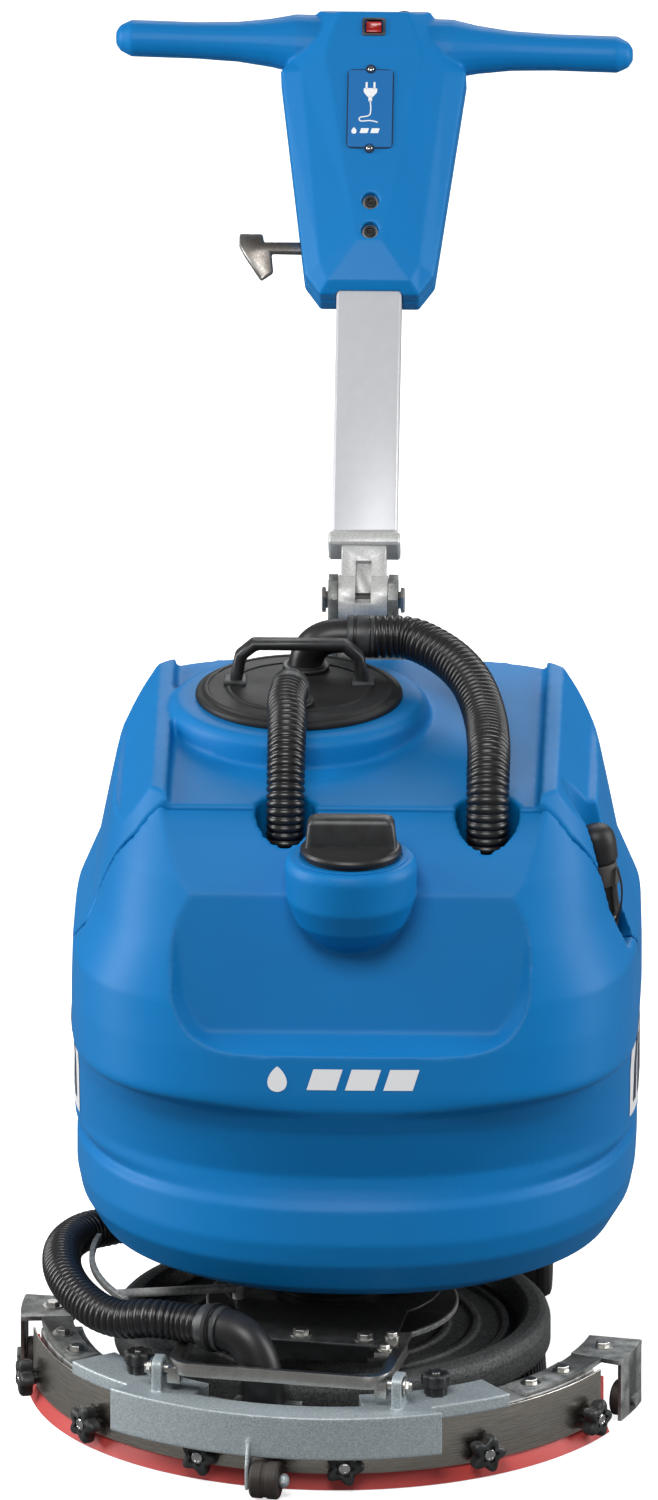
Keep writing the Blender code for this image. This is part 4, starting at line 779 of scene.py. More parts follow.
def wheel_arch():
    outer, reach = WHEEL_X + 28, WHEEL_R + 8
    arch = [(AXLE_Y - reach, SKIRT_Z - 30)]
    for k in range(1, 30):
        a = math.pi * k / 30
        arch.append((AXLE_Y - reach * math.cos(a), WHEEL_R + 14 + reach * math.sin(a)))
    arch.append((AXLE_Y + reach, SKIRT_Z - 30))
    return prism(arch, -outer, outer, axis="X")


def front_recess():
    """U-shaped scoop with sloping walls, pressed into the front above the ledge."""
    corner, half_low, low = 56, 150, LEDGE_Z - 2
    rings = []
    for z in [low + 0.01, low + 3, low + 7, low + 12, *range(low + 18, low + 60, 6), 456, 480, 510, 530, 550, 562,
              574, 600, 700]:
        drop = max(0.0, low + corner - z)
        inner = half_low - corner + math.sqrt(max(0.0, corner ** 2 - drop ** 2))
        inner += max(0.0, z - low - corner) * 15 / (TOP_Z - low - corner) if z < TOP_Z else 15
        wall = 9
        floor = float(np.interp(z, (low, low + 12, 450, 510, 560, 572, 700),
                                (hull_front(0, low) + 4, -158, -140, -120, -74, -58, 40)))
        face = min(hull_front(inner + wall, z), floor - 2) - 4
        ring = [(-inner - wall - 40, -420), (inner + wall + 40, -420), (inner + wall + 6, face)]
        ring += [(inner * k / 6, floor) for k in range(6, -7, -1)]
        ring += [(-inner - wall - 6, face)]
        rings.append([(x, y, z) for x, y in ring])
    return loft(rings)


def filler_spout():
    stages = ((FILLER_Z, FILLER_R - 2, 0), (FILLER_Z - 3, FILLER_R, 0), (FILLER_Z - 8, FILLER_R + 2, 0),
              (FILLER_Z - 38, FILLER_R, 0), (FILLER_Z - 62, FILLER_R - 9, 4), (FILLER_Z - 82, FILLER_R - 27, 14),
              (FILLER_Z - 90, FILLER_R - 36, 19), (FILLER_Z - 96, FILLER_R - 47, 24))
    return loft([[(r * math.cos(a), FILLER_Y + back + r * math.sin(a), z)
                  for a in (math.tau * k / 72 for k in range(72))] for z, r, back in stages])


def hose_pockets():
    return [moved(rod(radius + POCKET_CLEARANCE, POCKET_Z, 800, 48), (x, SEAM_Y, 0))
            for x, radius in ((SUCTION_POCKET_X, SUCTION_HOSE_R), (VACUUM_POCKET_X, VACUUM_HOSE_R))]


def drain_groove():
    return between(25, (228, -12, 428), (208, -12, 585), 48)


def make_solution_tank():
    tank = combine(loose(hull()), "DIFFERENCE", above_top(), behind_seam(), front_recess())
    combine(tank, "UNION", filler_spout())
    water = combine(loose(cavity(((DECK_Z + 8, 14, -152), (LEDGE_Z - 30, 12, -140), (450, 34, -120),
                                  (POCKET_Z - 8, 50, -96)), CHANNEL_Y - 8)), "INTERSECT", front_of_seam(-8))
    skirt_space = cavity(((SKIRT_Z - 20, 74, BODY_FRONT + 66), (SKIRT_Z + 22, 32, BODY_FRONT + 34),
                          (DECK_Z, 18, BODY_FRONT + 34)), BODY_REAR - 20)
    combine(tank, "DIFFERENCE", water, skirt_space, rear_channel(), wheel_arch(),
            moved(rod(34, FILLER_Z - 40, 800), (0, FILLER_Y, 0)),
            between(30, (0, FILLER_Y - 2, FILLER_Z - 22), (0, FILLER_Y + 55, 430)), *hose_pockets(), drain_groove())
    soften(tank, 2.3, 4)
    place_working(tank, "solution_tank_shell", TANK_BLUE, "chassis", stands_for=("solution_tank",))


def make_recovery_tank():
    tank = combine(loose(hull()), "DIFFERENCE", above_top(), front_of_seam(1.0))
    collar = [(0, 520), (COLLAR_R + 3, 520), (COLLAR_R + 2, COLLAR_Z - 22), (COLLAR_R, COLLAR_Z - 7),
              (COLLAR_R - 6, COLLAR_Z - 1), (COLLAR_R - 12, COLLAR_Z), (0, COLLAR_Z)]
    combine(tank, "UNION", moved(turned(collar), (LID_X, LID_Y, 0)))
    dirty = combine(loose(cavity(((PARTING_Z + 8, 14, -12), (440, 26, -24), (540, 50, -24), (565, 68, -24),
                                  (600, 78, -24), (640, 84, -24)), CHANNEL_Y - 8)), "INTERSECT", behind_seam(22))
    combine(dirty, "DIFFERENCE", loft([[(x, y, top_z(y) - 8 + h) for x, h in
                                        ((-400, 0), (400, 0), (400, 400), (-400, 400))] for y in (-400, 400)]))
    combine(tank, "DIFFERENCE", dirty, moved(rod(LID_MOUTH_R, 560, 800, 96), (LID_X, LID_Y, 0)), rear_channel(),
            *hose_pockets(), drain_groove())
    soften(tank, 2.3, 4)
    place_working(tank, "recovery_tank_shell", TANK_BLUE, "chassis", stands_for=("recovery_tank",))


# ---------------------------------------------------------------- lid, filler, hoses, drain

LID_TOP_Z, FLOAT_Z = COLLAR_Z + 10, COLLAR_Z - 63


def make_lid():
    top, low = LID_TOP_Z, COLLAR_Z + 0.4
    profile = [(0, top - 1), (60, top - 1), (61, top), (64, top), (65, top - 1.6), (80, top - 1.6), (81, top - 0.6),
               (84, top - 0.6), (86, top - 3.4), (91, top - 4.4), (92, top - 7), (92, low), (73, low), (73, low - 9),
               (70, low - 9), (70, low - 2), (27, low - 2), (27, FLOAT_Z - 3), (10, FLOAT_Z - 3), (10, FLOAT_Z),
               (24, FLOAT_Z), (24, low - 1), (0, low - 1)]
    piece("lid_disc", moved(lathe(profile, 0.9, 144), (LID_X, LID_Y, 0)), LID_BLACK, "lid",
          stands_for=("tank_lid",))
    from_node("lid_handle", SATIN_BLACK, bevel=2.6, segments=3)
    for sign in (-1, 1):
        foot = box((-10, 10), (-11, 11), (top - 1.5, top + 2.4), 1.6)
        piece(f"lid_handle_foot_{'left' if sign < 0 else 'right'}", moved(foot, (LID_X + 57 * sign, LID_Y + 11.5, 0)),
              SATIN_BLACK, "lid")
    piece("front_bend", bend_tube(*suction_bend(), SUCTION_HOSE_R - 3, SUCTION_HOSE_R, 12), SATIN_BLACK, "lid",
          stands_for=("front_elbow",))
    piece("rear_bend", bend_tube(*vacuum_bend(), SUCTION_HOSE_R - 2, VACUUM_HOSE_R - 0.6, 26), SATIN_BLACK, "lid",
          stands_for=("rear_elbow",))
    for name, bend, radius in (("front", suction_bend(), 14.3), ("rear", vacuum_bend(), 15.3)):
        base = bend[0]
        collar = lathe([(radius - 2, -0.2), (radius + 5.5, -0.2), (radius + 5.5, 3), (radius - 2, 3)], 1, 64,
                       closed=True)
        piece(f"{name}_bend_flange", moved(collar, base), SATIN_BLACK, "lid")
    ball_z = FLOAT_Z + 18.3
    ball = [(18 * math.sin(math.radians(a)), ball_z - 18 * math.cos(math.radians(a))) for a in range(0, 181, 6)]
    ball[0], ball[-1] = (0, ball_z - 18), (0, ball_z + 18)
    piece("float_sphere", moved(turned(ball, 64), (LID_X, LID_Y, 0)), FLOAT_RED, "float",
          stands_for=("float_ball",))


def suction_bend():
    foot = Vector((LID_X - 5, LID_Y - 45, LID_TOP_Z + 0.3))
    return foot, foot + Vector((0, 0, 21)), foot + Vector((-1, -13, 20))


def vacuum_bend():
    foot = Vector((LID_X + 5, LID_Y + 47, LID_TOP_Z + 0.3))
    return foot, foot + Vector((0, 0, 31)), foot + Vector((36, 0, 30))


def squeegee_bend():
    port = on_arc(-4, 232, PLATE_Z + 3.3)
    return port, port + Vector((0, 0, 66)), port + Vector((-38, 14, 64))


def hose_start(corner, end, cuff_length, radius):
    way = (end - corner).normalized()
    mouth = end + way * (cuff_length - 6)
    return [mouth, mouth + way * (6 + 1.4 * radius)]


def make_hoses():
    suction = [*hose_start(*suction_bend()[1:], 12, SUCTION_HOSE_R), (-60, 14, 630), (-60, -11, 621),
               (-60, -32, 607), (-60, -47, 591), (-60, -57, 571), (-60, -61, 548), (SUCTION_POCKET_X, SEAM_Y, 517)]
    vacuum = [*hose_start(*vacuum_bend()[1:], 26, VACUUM_HOSE_R), (61, 167, 642), (82, 146, 636), (98, 118, 629),
              (108, 88, 621), (115, 50, 613), (118, 10, 610), (119, -18, 607), (119, -39, 597), (119, -56, 579),
              (119, -62, 552), (VACUUM_POCKET_X, SEAM_Y, 519)]
    swung = Matrix.Translation((BRUSH_X, 0, 0)) @ Matrix.Rotation(math.radians(SWING), 4, "Z")
    bend = [swung @ point for point in squeegee_bend()[1:]]
    low = [*hose_start(*bend, 22, SQUEEGEE_HOSE_R), (-177, -157, 123), (-201, -144, 117), (-221, -126, 116),
           (-237, -102, 118), (-249, -76, 121), (-257, -48, 124), (-260, -18, 125), (-259, 12, 125),
           (-253, 42, 123), (-241, 68, 121), (-222, 86, 119), (-199, 97, 121), (-177, 101, 130),
           (-158, 99, 146), (-146, 94, 166), (-140, 90, 190), (-138, 88, 224)]
    for name, route, radius, upper, start, end in (
            ("suction_hose", suction, SUCTION_HOSE_R, "lid", suction[1], suction[-1]),
            ("vacuum_hose", vacuum, VACUUM_HOSE_R, "lid", vacuum[3], vacuum[-1]),
            ("squeegee_hose", low, SQUEEGEE_HOSE_R, "swing_arm", low[2], low[-4])):
        hose = piece(name + "_ribbed", ribbed_tube(route, radius), HOSE_BLACK, None, stands_for=(name,), sharp=0)
        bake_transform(hose)


def make_filler():
    at = (0, FILLER_Y, 0)
    seal = FILLER_Z + 3
    piece("filler_seal_ring", moved(lathe([(35, FILLER_Z + 0.3), (42, FILLER_Z + 0.3), (42, seal), (35, seal)], 0.8,
          96, closed=True), at), RUBBER, "filler_seal", stands_for=("filler_gasket",))
    low = seal + 0.3
    profile = [(0, low - 16), (31, low - 16), (31, low), (44, low), (45, low + 1.5), (45, low + 4), (43, low + 6.5),
               (38, low + 8), (34, low + 8.4), (0, low + 8.4)]
    disc = moved(lathe(profile, 0.8, 120), at)
    stages = ((low + 6, 41, 12.5), (low + 10, 40.4, 12), (low + 28, 38.5, 11), (low + 32, 36.5, 9.6), (low + 34, 33, 7))
    wing = loft([[(x, FILLER_Y + y, z) for x, y in eased([(-w, -d), (w, -d), (w, d), (-w, d)], 6, 6)]
                 for z, w, d in stages])
    piece("filler_wing_cap", merged(disc, wing), SATIN_BLACK, "filler", stands_for=("filler_cap",))
    face = [(0, FILLER_Y - 12.2, 0)]
    rim = lathe([(45.3, FILLER_Z - 0.2), (50.5, FILLER_Z - 0.2), (50.5, FILLER_Z + 1.2), (45.3, FILLER_Z + 1.2)], 0.5,
                96, closed=True)
    piece("filler_rim", moved(rim, face[0][:1] + (FILLER_Y, 0)), TANK_BLUE, "chassis")


def make_drain():
    foot, head = Vector((226, -12, 434)), Vector((217, -12, 505))
    way = (head - foot).normalized()
    length = (head - foot).length
    profile = [(0, 0), (6, 0), (6.5, 1)]
    for k in range(7):
        profile += [(7.2 + k * 0.6, 3 * k + 1.5), (6.2 + k * 0.6, 3 * k + 3)]
    profile += [(11, 24), (12.6, 26), (12.6, length - 26), (13, length - 24), (13, length), (0, length)]
    piece("drain_tail", aimed(turned(profile, 64), foot, way), HOSE_BLACK, "chassis", stands_for=("drain_hose",))
    cuff = lathe([(12.5, 0), (15, 0), (15, 20), (12.5, 20)], 1.2, 64, closed=True)
    piece("drain_cuff", aimed(cuff, head - way * 21, way), CUFF_GREY, "chassis")
    low = head + way * 0.3
    dome = [(0, 0), (15, 0), (16.6, 2), (17, 6), (17, 20), (15.5, 27), (11.5, 32), (6, 34), (0, 34)]
    piece("drain_cap", aimed(lathe(dome, 3, 72), low, way), KNOB_BLACK, "drain_stopper",
          stands_for=("drain_plug",))
    strap = [Vector((233, -20, 502)), Vector((237, -24, 486)), Vector((236, -25, 466)), Vector((229, -22, 446))]
    route = smooth_route(strap, 3)
    rings = [[p + Vector((dx, dy, 0)) for dx, dy in ((-0.8, -3), (0.8, -3), (0.8, 3), (-0.8, 3))] for p in route]
    piece("drain_strap", loft(rings), RUBBER, "chassis")


# ---------------------------------------------------------------- chassis, motors, wheels

def make_chassis():
    from_node("chassis_frame", FRAME_BLACK, bevel=1.0)
    from_node("mast_bracket", DARK_COAT, bevel=1.6, segments=3)
    from_node("solution_valve", SATIN_BLACK, bevel=1.0)
    end = WHEEL_X + 24
    shaft = lathe([(0, -end), (9, -end), (10, -end + 1.5), (10, end - 1.5), (9, end), (0, end)], 0.6, 48)
    piece("axle_shaft", moved(shaft, (0, AXLE_Y, WHEEL_R), ("Y", 90)), ZINC_BOLT, "chassis",
          stands_for=("rear_axle",))
    plate = DECK_Z - 7
    low = 109
    fins = []
    for k in range(9):
        z = low + 22 + k * 9
        fins += [(69, z), (70, z + 1), (70, z + 5), (69, z + 6), (67.5, z + 6.5), (67.5, z + 8.5)]
    profile = [(0, DRIVE_PLATE_Z + 5.3), (HUB_R - 8, DRIVE_PLATE_Z + 5.3), (HUB_R - 8, low), (64, low), (70, low + 6),
               *fins, (70, plate - 6), (64, plate - 0.3), (0, plate - 0.3)]
    piece("motor_case", moved(turned(profile, 120), (BRUSH_X, 0, 0)), FRAME_BLACK, "chassis",
          stands_for=("brush_motor",))
    disc = [(0, DRIVE_PLATE_Z), (DRIVE_PLATE_R, DRIVE_PLATE_Z), (DRIVE_PLATE_R, DRIVE_PLATE_Z + 5),
            (0, DRIVE_PLATE_Z + 5)]
    piece("drive_disc", moved(lathe(disc, 1, 144), (BRUSH_X, 0, 0)), GUARD_GREY, "chassis",
          stands_for=("drive_plate",))
    top = lathe([(51, DRIVE_PLATE_Z + 4.9), (DRIVE_PLATE_R - 2, DRIVE_PLATE_Z + 4.9),
                 (DRIVE_PLATE_R - 2, DRIVE_PLATE_Z + 5.3), (51, DRIVE_PLATE_Z + 5.3)], 0.1, 144, closed=True)
    piece("drive_disc_face", moved(top, (BRUSH_X, 0, 0)), FRAME_BLACK, "chassis")
    fan = plate - 0.3
    profile = [(0, 142), (30, 142), (34, 146), (34, 168), (52, 172), (52, 186), (50.5, 187), (50.5, 190), (52, 191),
               (52, fan - 12), (46, fan), (0, fan)]
    piece("vacuum_case", moved(lathe(profile, 1.2, 96), (66, 112, 0)), SATIN_BLACK, "chassis",
          stands_for=("vacuum_motor",))
    pin = [(0, -37), (11, -37), (12, -36), (12, -33.4), (8, -33), (8, 33), (12, 33.4), (12, 36), (11, 37), (0, 37)]
    piece("pivot_bolt", moved(turned(pin, 6), (0, MAST_Y, MAST_Z), ("Y", 90)), ZINC_BOLT, "chassis",
          stands_for=("mast_pin",))


def make_wheels():
    for side, x in (("left", -WHEEL_X), ("right", WHEEL_X)):
        centre, rim = (x, AXLE_Y, WHEEL_R), WHEEL_R - 16
        hub = [(10.5, -20), (20, -20), (22, -18), (22, -12), (rim - 8, -10), (rim - 6, -17), (rim, -17), (rim, 17),
               (rim - 6, 17), (rim - 8, 10), (22, 12), (22, 18), (20, 20), (10.5, 20)]
        piece(f"wheel_disc_{side}", moved(lathe(hub, 1.2, 96, closed=True), centre, ("Y", 90)), SATIN_BLACK,
              f"wheel_{side}", stands_for=(f"wheel_hub_{side}",))
        tread = [(rim + 0.4, -18), (72, -20), (77, -18.5), (79.6, -14), (80, -9), (78.6, -8), (78.6, -6.4), (80, -5.4),
                 (80, 5.4), (78.6, 6.4), (78.6, 8), (80, 9), (79.6, 14), (77, 18.5), (72, 20), (rim + 0.4, 18)]
        piece(f"tyre_tread_{side}", moved(lathe(tread, 0.8, 144, closed=True), centre, ("Y", 90)), TYRE,
              f"wheel_{side}", stands_for=(f"tyre_{side}",))
        ribs = []
        for k in range(6):
            blade = box((-3, 3), (24, rim - 7), (-13, 13), 1.2)
            ribs.append(moved(blade, (0, 0, 0), ("Z", 60 * k)))
        piece(f"wheel_ribs_{side}", moved(merged(*ribs), centre, ("Y", 90)), SATIN_BLACK, f"wheel_{side}")
        sign = -1 if x < 0 else 1
        cap = lathe([(0, 20), (13, 20), (13, 22), (9, 25), (0, 25.6)], 1, 48)
        piece(f"axle_cap_{side}", moved(cap, centre, ("Y", 90 * sign)), ZINC_BOLT, f"wheel_{side}")


# ---------------------------------------------------------------- brush

def make_brush():
    at = (BRUSH_X, 0, 0)
    web, rim = BRUSH_RIM_Z - 16, BRUSH_RIM_Z
    rings = []
    for k in range(4):
        r = 158 - 26 * k
        rings += [(r, web), (r - 2, web + 3), (r - 7, web + 3), (r - 9, web)]
    block = [(HUB_R + 0.4, BRISTLE_Z), (BRUSH_R - 3, BRISTLE_Z), (BRUSH_R, BRISTLE_Z + 3), (BRUSH_R, rim - 10),
             (BRUSH_R - 1.5, rim - 5), (BRUSH_R - 5, rim - 1.5), (BRUSH_R - 10, rim), (BRUSH_R - 20, rim),
             (BRUSH_R - 24, rim - 3), (BRUSH_R - 28, web), *rings, (HUB_R + 0.4, web)]
    piece("brush_disc", moved(lathe(block, 1.2, 180, closed=True), at), FOAM_BLACK, "brush",
          stands_for=("brush_block",))
    hub = [(0, BRISTLE_Z + 2), (HUB_R - 1, BRISTLE_Z + 2), (HUB_R, BRISTLE_Z + 3), (HUB_R, web + 6),
           (HUB_R - 12, DRIVE_PLATE_Z - 0.3), (0, DRIVE_PLATE_Z - 0.3)]
    piece("brush_centre", moved(lathe(hub, 1.5, 96), at), SATIN_BLACK, "brush", stands_for=("brush_hub",))
    random.seed(7)
    tufts = bmesh.new()
    radii = [67 + 10.8 * k for k in range(12)]
    for r in radii:
        count = round(math.tau * r / 9.6)
        for k in range(count):
            a = math.tau * (k + random.uniform(-0.12, 0.12)) / count
            spread, flare = 2.6, random.uniform(1.15, 1.4)
            lean = Vector((math.cos(a), math.sin(a), 0)) * (r - 128) * 0.012
            foot = Vector((r * math.cos(a), r * math.sin(a), 0))
            low = foot + lean * 3 + Vector((random.uniform(-0.5, 0.5), random.uniform(-0.5, 0.5), 0))
            if low.length > BRUSH_R - 6:
                low *= (BRUSH_R - 6) / low.length
            loops = []
            for centre, z, wide in ((foot, BRISTLE_Z - 0.1, spread), (low, random.uniform(0.3, 1.2), spread * flare)):
                loops.append([tufts.verts.new((centre.x + wide * math.cos(b), centre.y + wide * math.sin(b), z))
                              for b in (math.tau * n / 7 for n in range(7))])
            for n in range(7):
                tufts.faces.new((loops[0][n], loops[0][(n + 1) % 7], loops[1][(n + 1) % 7], loops[1][n]))
            tufts.faces.new(loops[1])
    piece("bristle_tufts", moved(tufts, at), BRISTLE, "brush", stands_for=("bristles",), sharp=50)


# ---------------------------------------------------------------- squeegee

def star_ring(scale, lobe=3.0, points=80):
    ring = []
    for k in range(points):
        a = math.tau * k / points
        r = (15 + lobe * math.cos(5 * a)) * scale
        ring.append((r * math.cos(a), r * math.sin(a)))
    return ring


def make_star_knob(n):
    angle = (n - 2.5) * 27
    start, way = on_arc(angle, BAND_R + 2.3, 25), arc_way(angle)
    layers = ((0, 0.42), (4.4, 0.45), (4.8, 0.9), (5.6, 0.97), (7, 1.0), (13, 1.0), (14.6, 0.97), (16.2, 0.88),
              (17, 0.76), (17, 0.5), (15.4, 0.46))
    knob = loft([[(x, y, z) for x, y in star_ring(s)] for z, s in layers])
    piece(f"star_knob_{n + 1}", aimed(knob, start, way), KNOB_BLACK, f"knob_{n + 1}", at=SWUNG,
          stands_for=(f"band_knob_{n + 1}",), sharp=50)
    screw = lathe([(0, 15.6), (5.2, 15.6), (5.2, 16.4), (3.4, 17), (3.4, 16.2), (0, 16.2)], 0.2, 32)
    piece(f"star_screw_{n + 1}", aimed(screw, start, way), CHROME, f"knob_{n + 1}", at=SWUNG)


def make_squeegee_strips():
    top, out, web = (PLATE_Z, PLATE_Z + 3), BAND_R - 5, 3
    section = [(226, top[0]), (243, top[0]), (243, 16), (243 + web, 16), (243 + web, top[0]),
               (out - web, top[0]), (out - web, 16), (out, 16), (out, top[1] - 0.8), (out - 0.8, top[1]),
               (226.8, top[1]), (226, top[1] - 0.8)]
    port = arc_bar(ring_section((213, 236), (top[0] - 2, top[1] - 0.1)), -12, 4)
    piece("squeegee_channel", merged(arc_bar(section, -HALF_SPAN, HALF_SPAN), port), DARK_COAT, "squeegee", at=SWUNG,
          stands_for=("squeegee_plate",))
    band = arc_bar(ring_section((BAND_R, BAND_R + 2), (14, BAND_Z), 0.8), -HALF_SPAN, HALF_SPAN)
    piece("steel_band", band, STAINLESS, "squeegee", at=SWUNG, stands_for=("squeegee_band",), sharp=60)
    lip = eased([(out + 0.3, 18), (BAND_R + 2, 0), (BAND_R + 6, 0), (BAND_R - 0.3, 13), (BAND_R - 0.3, 52),
                 (out + 0.3, 52)], 0.7, 3)
    piece("outer_blade", arc_bar(lip, -HALF_SPAN - 2, HALF_SPAN + 2), RED_BLADE, "squeegee", at=SWUNG,
          stands_for=("blade_outer",))
    inner = arc_bar(ring_section((238.5, 242.7), (0, 52), 0.7), -HALF_SPAN - 2, HALF_SPAN + 2)
    piece("inner_blade", inner, RED_BLADE, "squeegee", at=SWUNG, stands_for=("blade_inner",))
    port, bend, mouth = squeegee_bend()
    piece("squeegee_bend_pipe", bend_tube(port, bend, mouth, SQUEEGEE_HOSE_R + 1, SQUEEGEE_HOSE_R + 3, 22),
          SATIN_BLACK, "squeegee", at=SWUNG, stands_for=("squeegee_elbow",))
    way = (mouth - bend).normalized()
    tie = lathe([(21, 0), (22.2, 0), (22.2, 4), (21, 4)], 0.3, 64, closed=True)
    piece("hose_clip", aimed(tie, mouth + way * 9, way), RUBBER, "squeegee", at=SWUNG)


def make_casting():
    low = BAND_Z + 0.3
    cast = loose(arc_bar(ring_section((WEIGHT_R - 5.5, WEIGHT_R), (WEIGHT_FOOT, WEIGHT_TOP)), -30.5, 30.5))
    shapes = [arc_bar(ring_section((262, WEIGHT_R - 2), (low, WEIGHT_TOP - 0.5)), -30, 30)]
    ear_x, reach = BOW_REACH + 4, BOW_REACH + 40
    for sign in (-1, 1):
        shapes.append(arc_bar(ring_section((231, 276), (low, WEIGHT_TOP - 1)), 17 * sign, 46 * sign))
        ear = eased([(PIN_Y - 13, WEIGHT_TOP - 4), (PIN_Y + 13, WEIGHT_TOP - 4), (PIN_Y + 13, PIN_Z + 11),
                     (PIN_Y - 13, PIN_Z + 11)], 9, 6)
        shapes.append(prism(ear, *sorted((ear_x * sign, (ear_x + 9) * sign)), axis="X"))
    hub = on_arc(0, WEIGHT_R + 2, 17)
    lug = [(hub.y - 8, 8), (hub.y + 8, 8), (hub.y + 10, WEIGHT_FOOT), (hub.y + 6, WEIGHT_TOP - 20),
           (hub.y + 3, WEIGHT_TOP - 20), (hub.y - 8, WEIGHT_FOOT - 4)]
    shapes += [prism(lug, -18, -14.5, axis="X"), between(4, (-16, hub.y, hub.z), (21, hub.y, hub.z)),
               between(7, (14, hub.y, hub.z), (19, hub.y, hub.z), 6)]
    combine(cast, "UNION", *shapes)
    combine(cast, "DIFFERENCE", between(5.5, (-reach, PIN_Y, PIN_Z), (reach, PIN_Y, PIN_Z)))
    soften(cast, 1.2, 4)
    place_working(cast, "galvanised_weight", GALVANISED, "squeegee", SWUNG, ("squeegee_weight",))
    tyre = lathe([(4.5, -13), (15, -13), (17, -11), (17, -2.6), (16, -2), (16, 2), (17, 2.6), (17, 11), (15, 13),
                  (4.5, 13)], 0.7, 72, closed=True)
    piece("nose_tyre", moved(tyre, hub, ("Y", 90)), ROLLER, "nose_roller", at=SWUNG, stands_for=("front_roller",))
    for side, sign in (("left", -1), ("right", 1)):
        spot = on_arc(33 * sign, 247, WEIGHT_TOP - 0.7)
        flute = []
        for k in range(120):
            a = math.tau * k / 120
            r = 12.6 + 0.9 * math.cos(8 * a)
            flute.append((r * math.cos(a), r * math.sin(a)))
        layers = ((0, 0.78), (8, 0.78), (8.6, 0.94), (9.6, 1.0), (17, 1.0), (18.6, 0.97), (19.6, 0.9), (20, 0.8),
                  (19.2, 0.72))
        knob = loft([[(x * s, y * s, z) for x, y in flute] for z, s in layers])
        piece(f"thumb_wheel_{side}", moved(knob, spot), KNOB_BLACK, f"thumb_{side}", at=SWUNG,
              stands_for=(f"thumb_knob_{side}",), sharp=50)
        stud = lathe([(0, 18.6), (3.6, 18.6), (3.6, 20.2), (2.6, 20.9), (0, 20.9)], 0.3, 32)
        piece(f"thumb_stud_{side}", moved(stud, spot), ZINC_BOLT, f"thumb_{side}", at=SWUNG)
        bolt(f"ear_nut_{side}", ((BOW_REACH + 14.4) * sign, PIN_Y, PIN_Z), (sign, 0, 0), 6.4, 4.4, "swing_arm")


def bolt(name, at, way, radius, height, body, place=SWUNG, washer=True, material=ZINC_BOLT):
    """Hexagon head with rounded corners on a washer."""
    head = turned([(0, 1.2), (radius, 1.2), (radius, height - 0.6), (radius * 0.9, height), (0, height)], 6)
    shapes = [head]
    if washer:
        shapes.append(turned([(0, 0), (radius * 1.45, 0), (radius * 1.45, 1.2), (0, 1.2)], 40))
    piece(name, aimed(merged(*shapes), at, way), material, body, at=place)


def make_brackets():
    top = PLATE_Z + 3.3
    for side, sign in (("left", -1), ("right", 1)):
        from_node(f"end_bracket_{side}", DARK_COAT, bevel=0.9)
        hub = on_arc(82 * sign, 269, 20)
        way = arc_way(82 * sign)
        tyre = lathe([(3.5, -6), (14, -6), (16, -4.4), (16, 4.4), (14, 6), (3.5, 6)], 0.7, 64, closed=True)
        piece(f"bumper_tyre_{side}", aimed(tyre, hub, way), ROLLER, f"bumper_{side}", at=SWUNG,
              stands_for=(f"end_roller_{side}",))
        for n, angle in enumerate((56, 66)):
            bolt(f"bracket_bolt_{side}_{n + 1}", on_arc(angle * sign, 248, top + 4), (0, 0, 1), 6.2, 5, "squeegee")
        bolt(f"corner_bolt_{side}", on_arc(82 * sign, 252, top + 4.4), (0, 0, 1), 6.2, 5, "squeegee")


def make_arm():
    from_node("squeegee_arm", FRAME_BLACK, bevel=0.8)
    from_node("squeegee_bow", BOW_SILVER, bevel=1.3, segments=3)
    guard = []
    for k in range(46):
        a = math.radians(-47 - k)
        guard.append([(r * math.sin(a), -r * math.cos(a), z) for r, z in ring_section((211, 216), (121, 127), 0.8)])
    strut = math.radians(-52)
    way = Vector((math.sin(strut), -math.cos(strut), 0))
    stay = between(4, way * 213 + Vector((0, 0, 124)), way * 92 + Vector((0, 0, 110)))
    post = between(5, way * 93 + Vector((0, 0, 100.3)), way * 93 + Vector((0, 0, 113)))
    piece("guard_rail", merged(loft(guard), stay, post), GUARD_GREY, "swing_arm", at=SWUNG,
          stands_for=("hose_guard",))
    for n, x in enumerate((-58, 0, 58)):
        bolt(f"arm_bolt_{n + 1}", (x, -134, 100), (0, 0, 1), 7, 5.5, "swing_arm")
    for side, sign in (("left", -1), ("right", 1)):
        for n, y in enumerate((-168, -136)):
            bolt(f"bow_bolt_{side}_{n + 1}", ((BOW_REACH - 17) * sign, y, 105), (0, 0, 1), 4.6, 4, "swing_arm")


# ---------------------------------------------------------------- handle

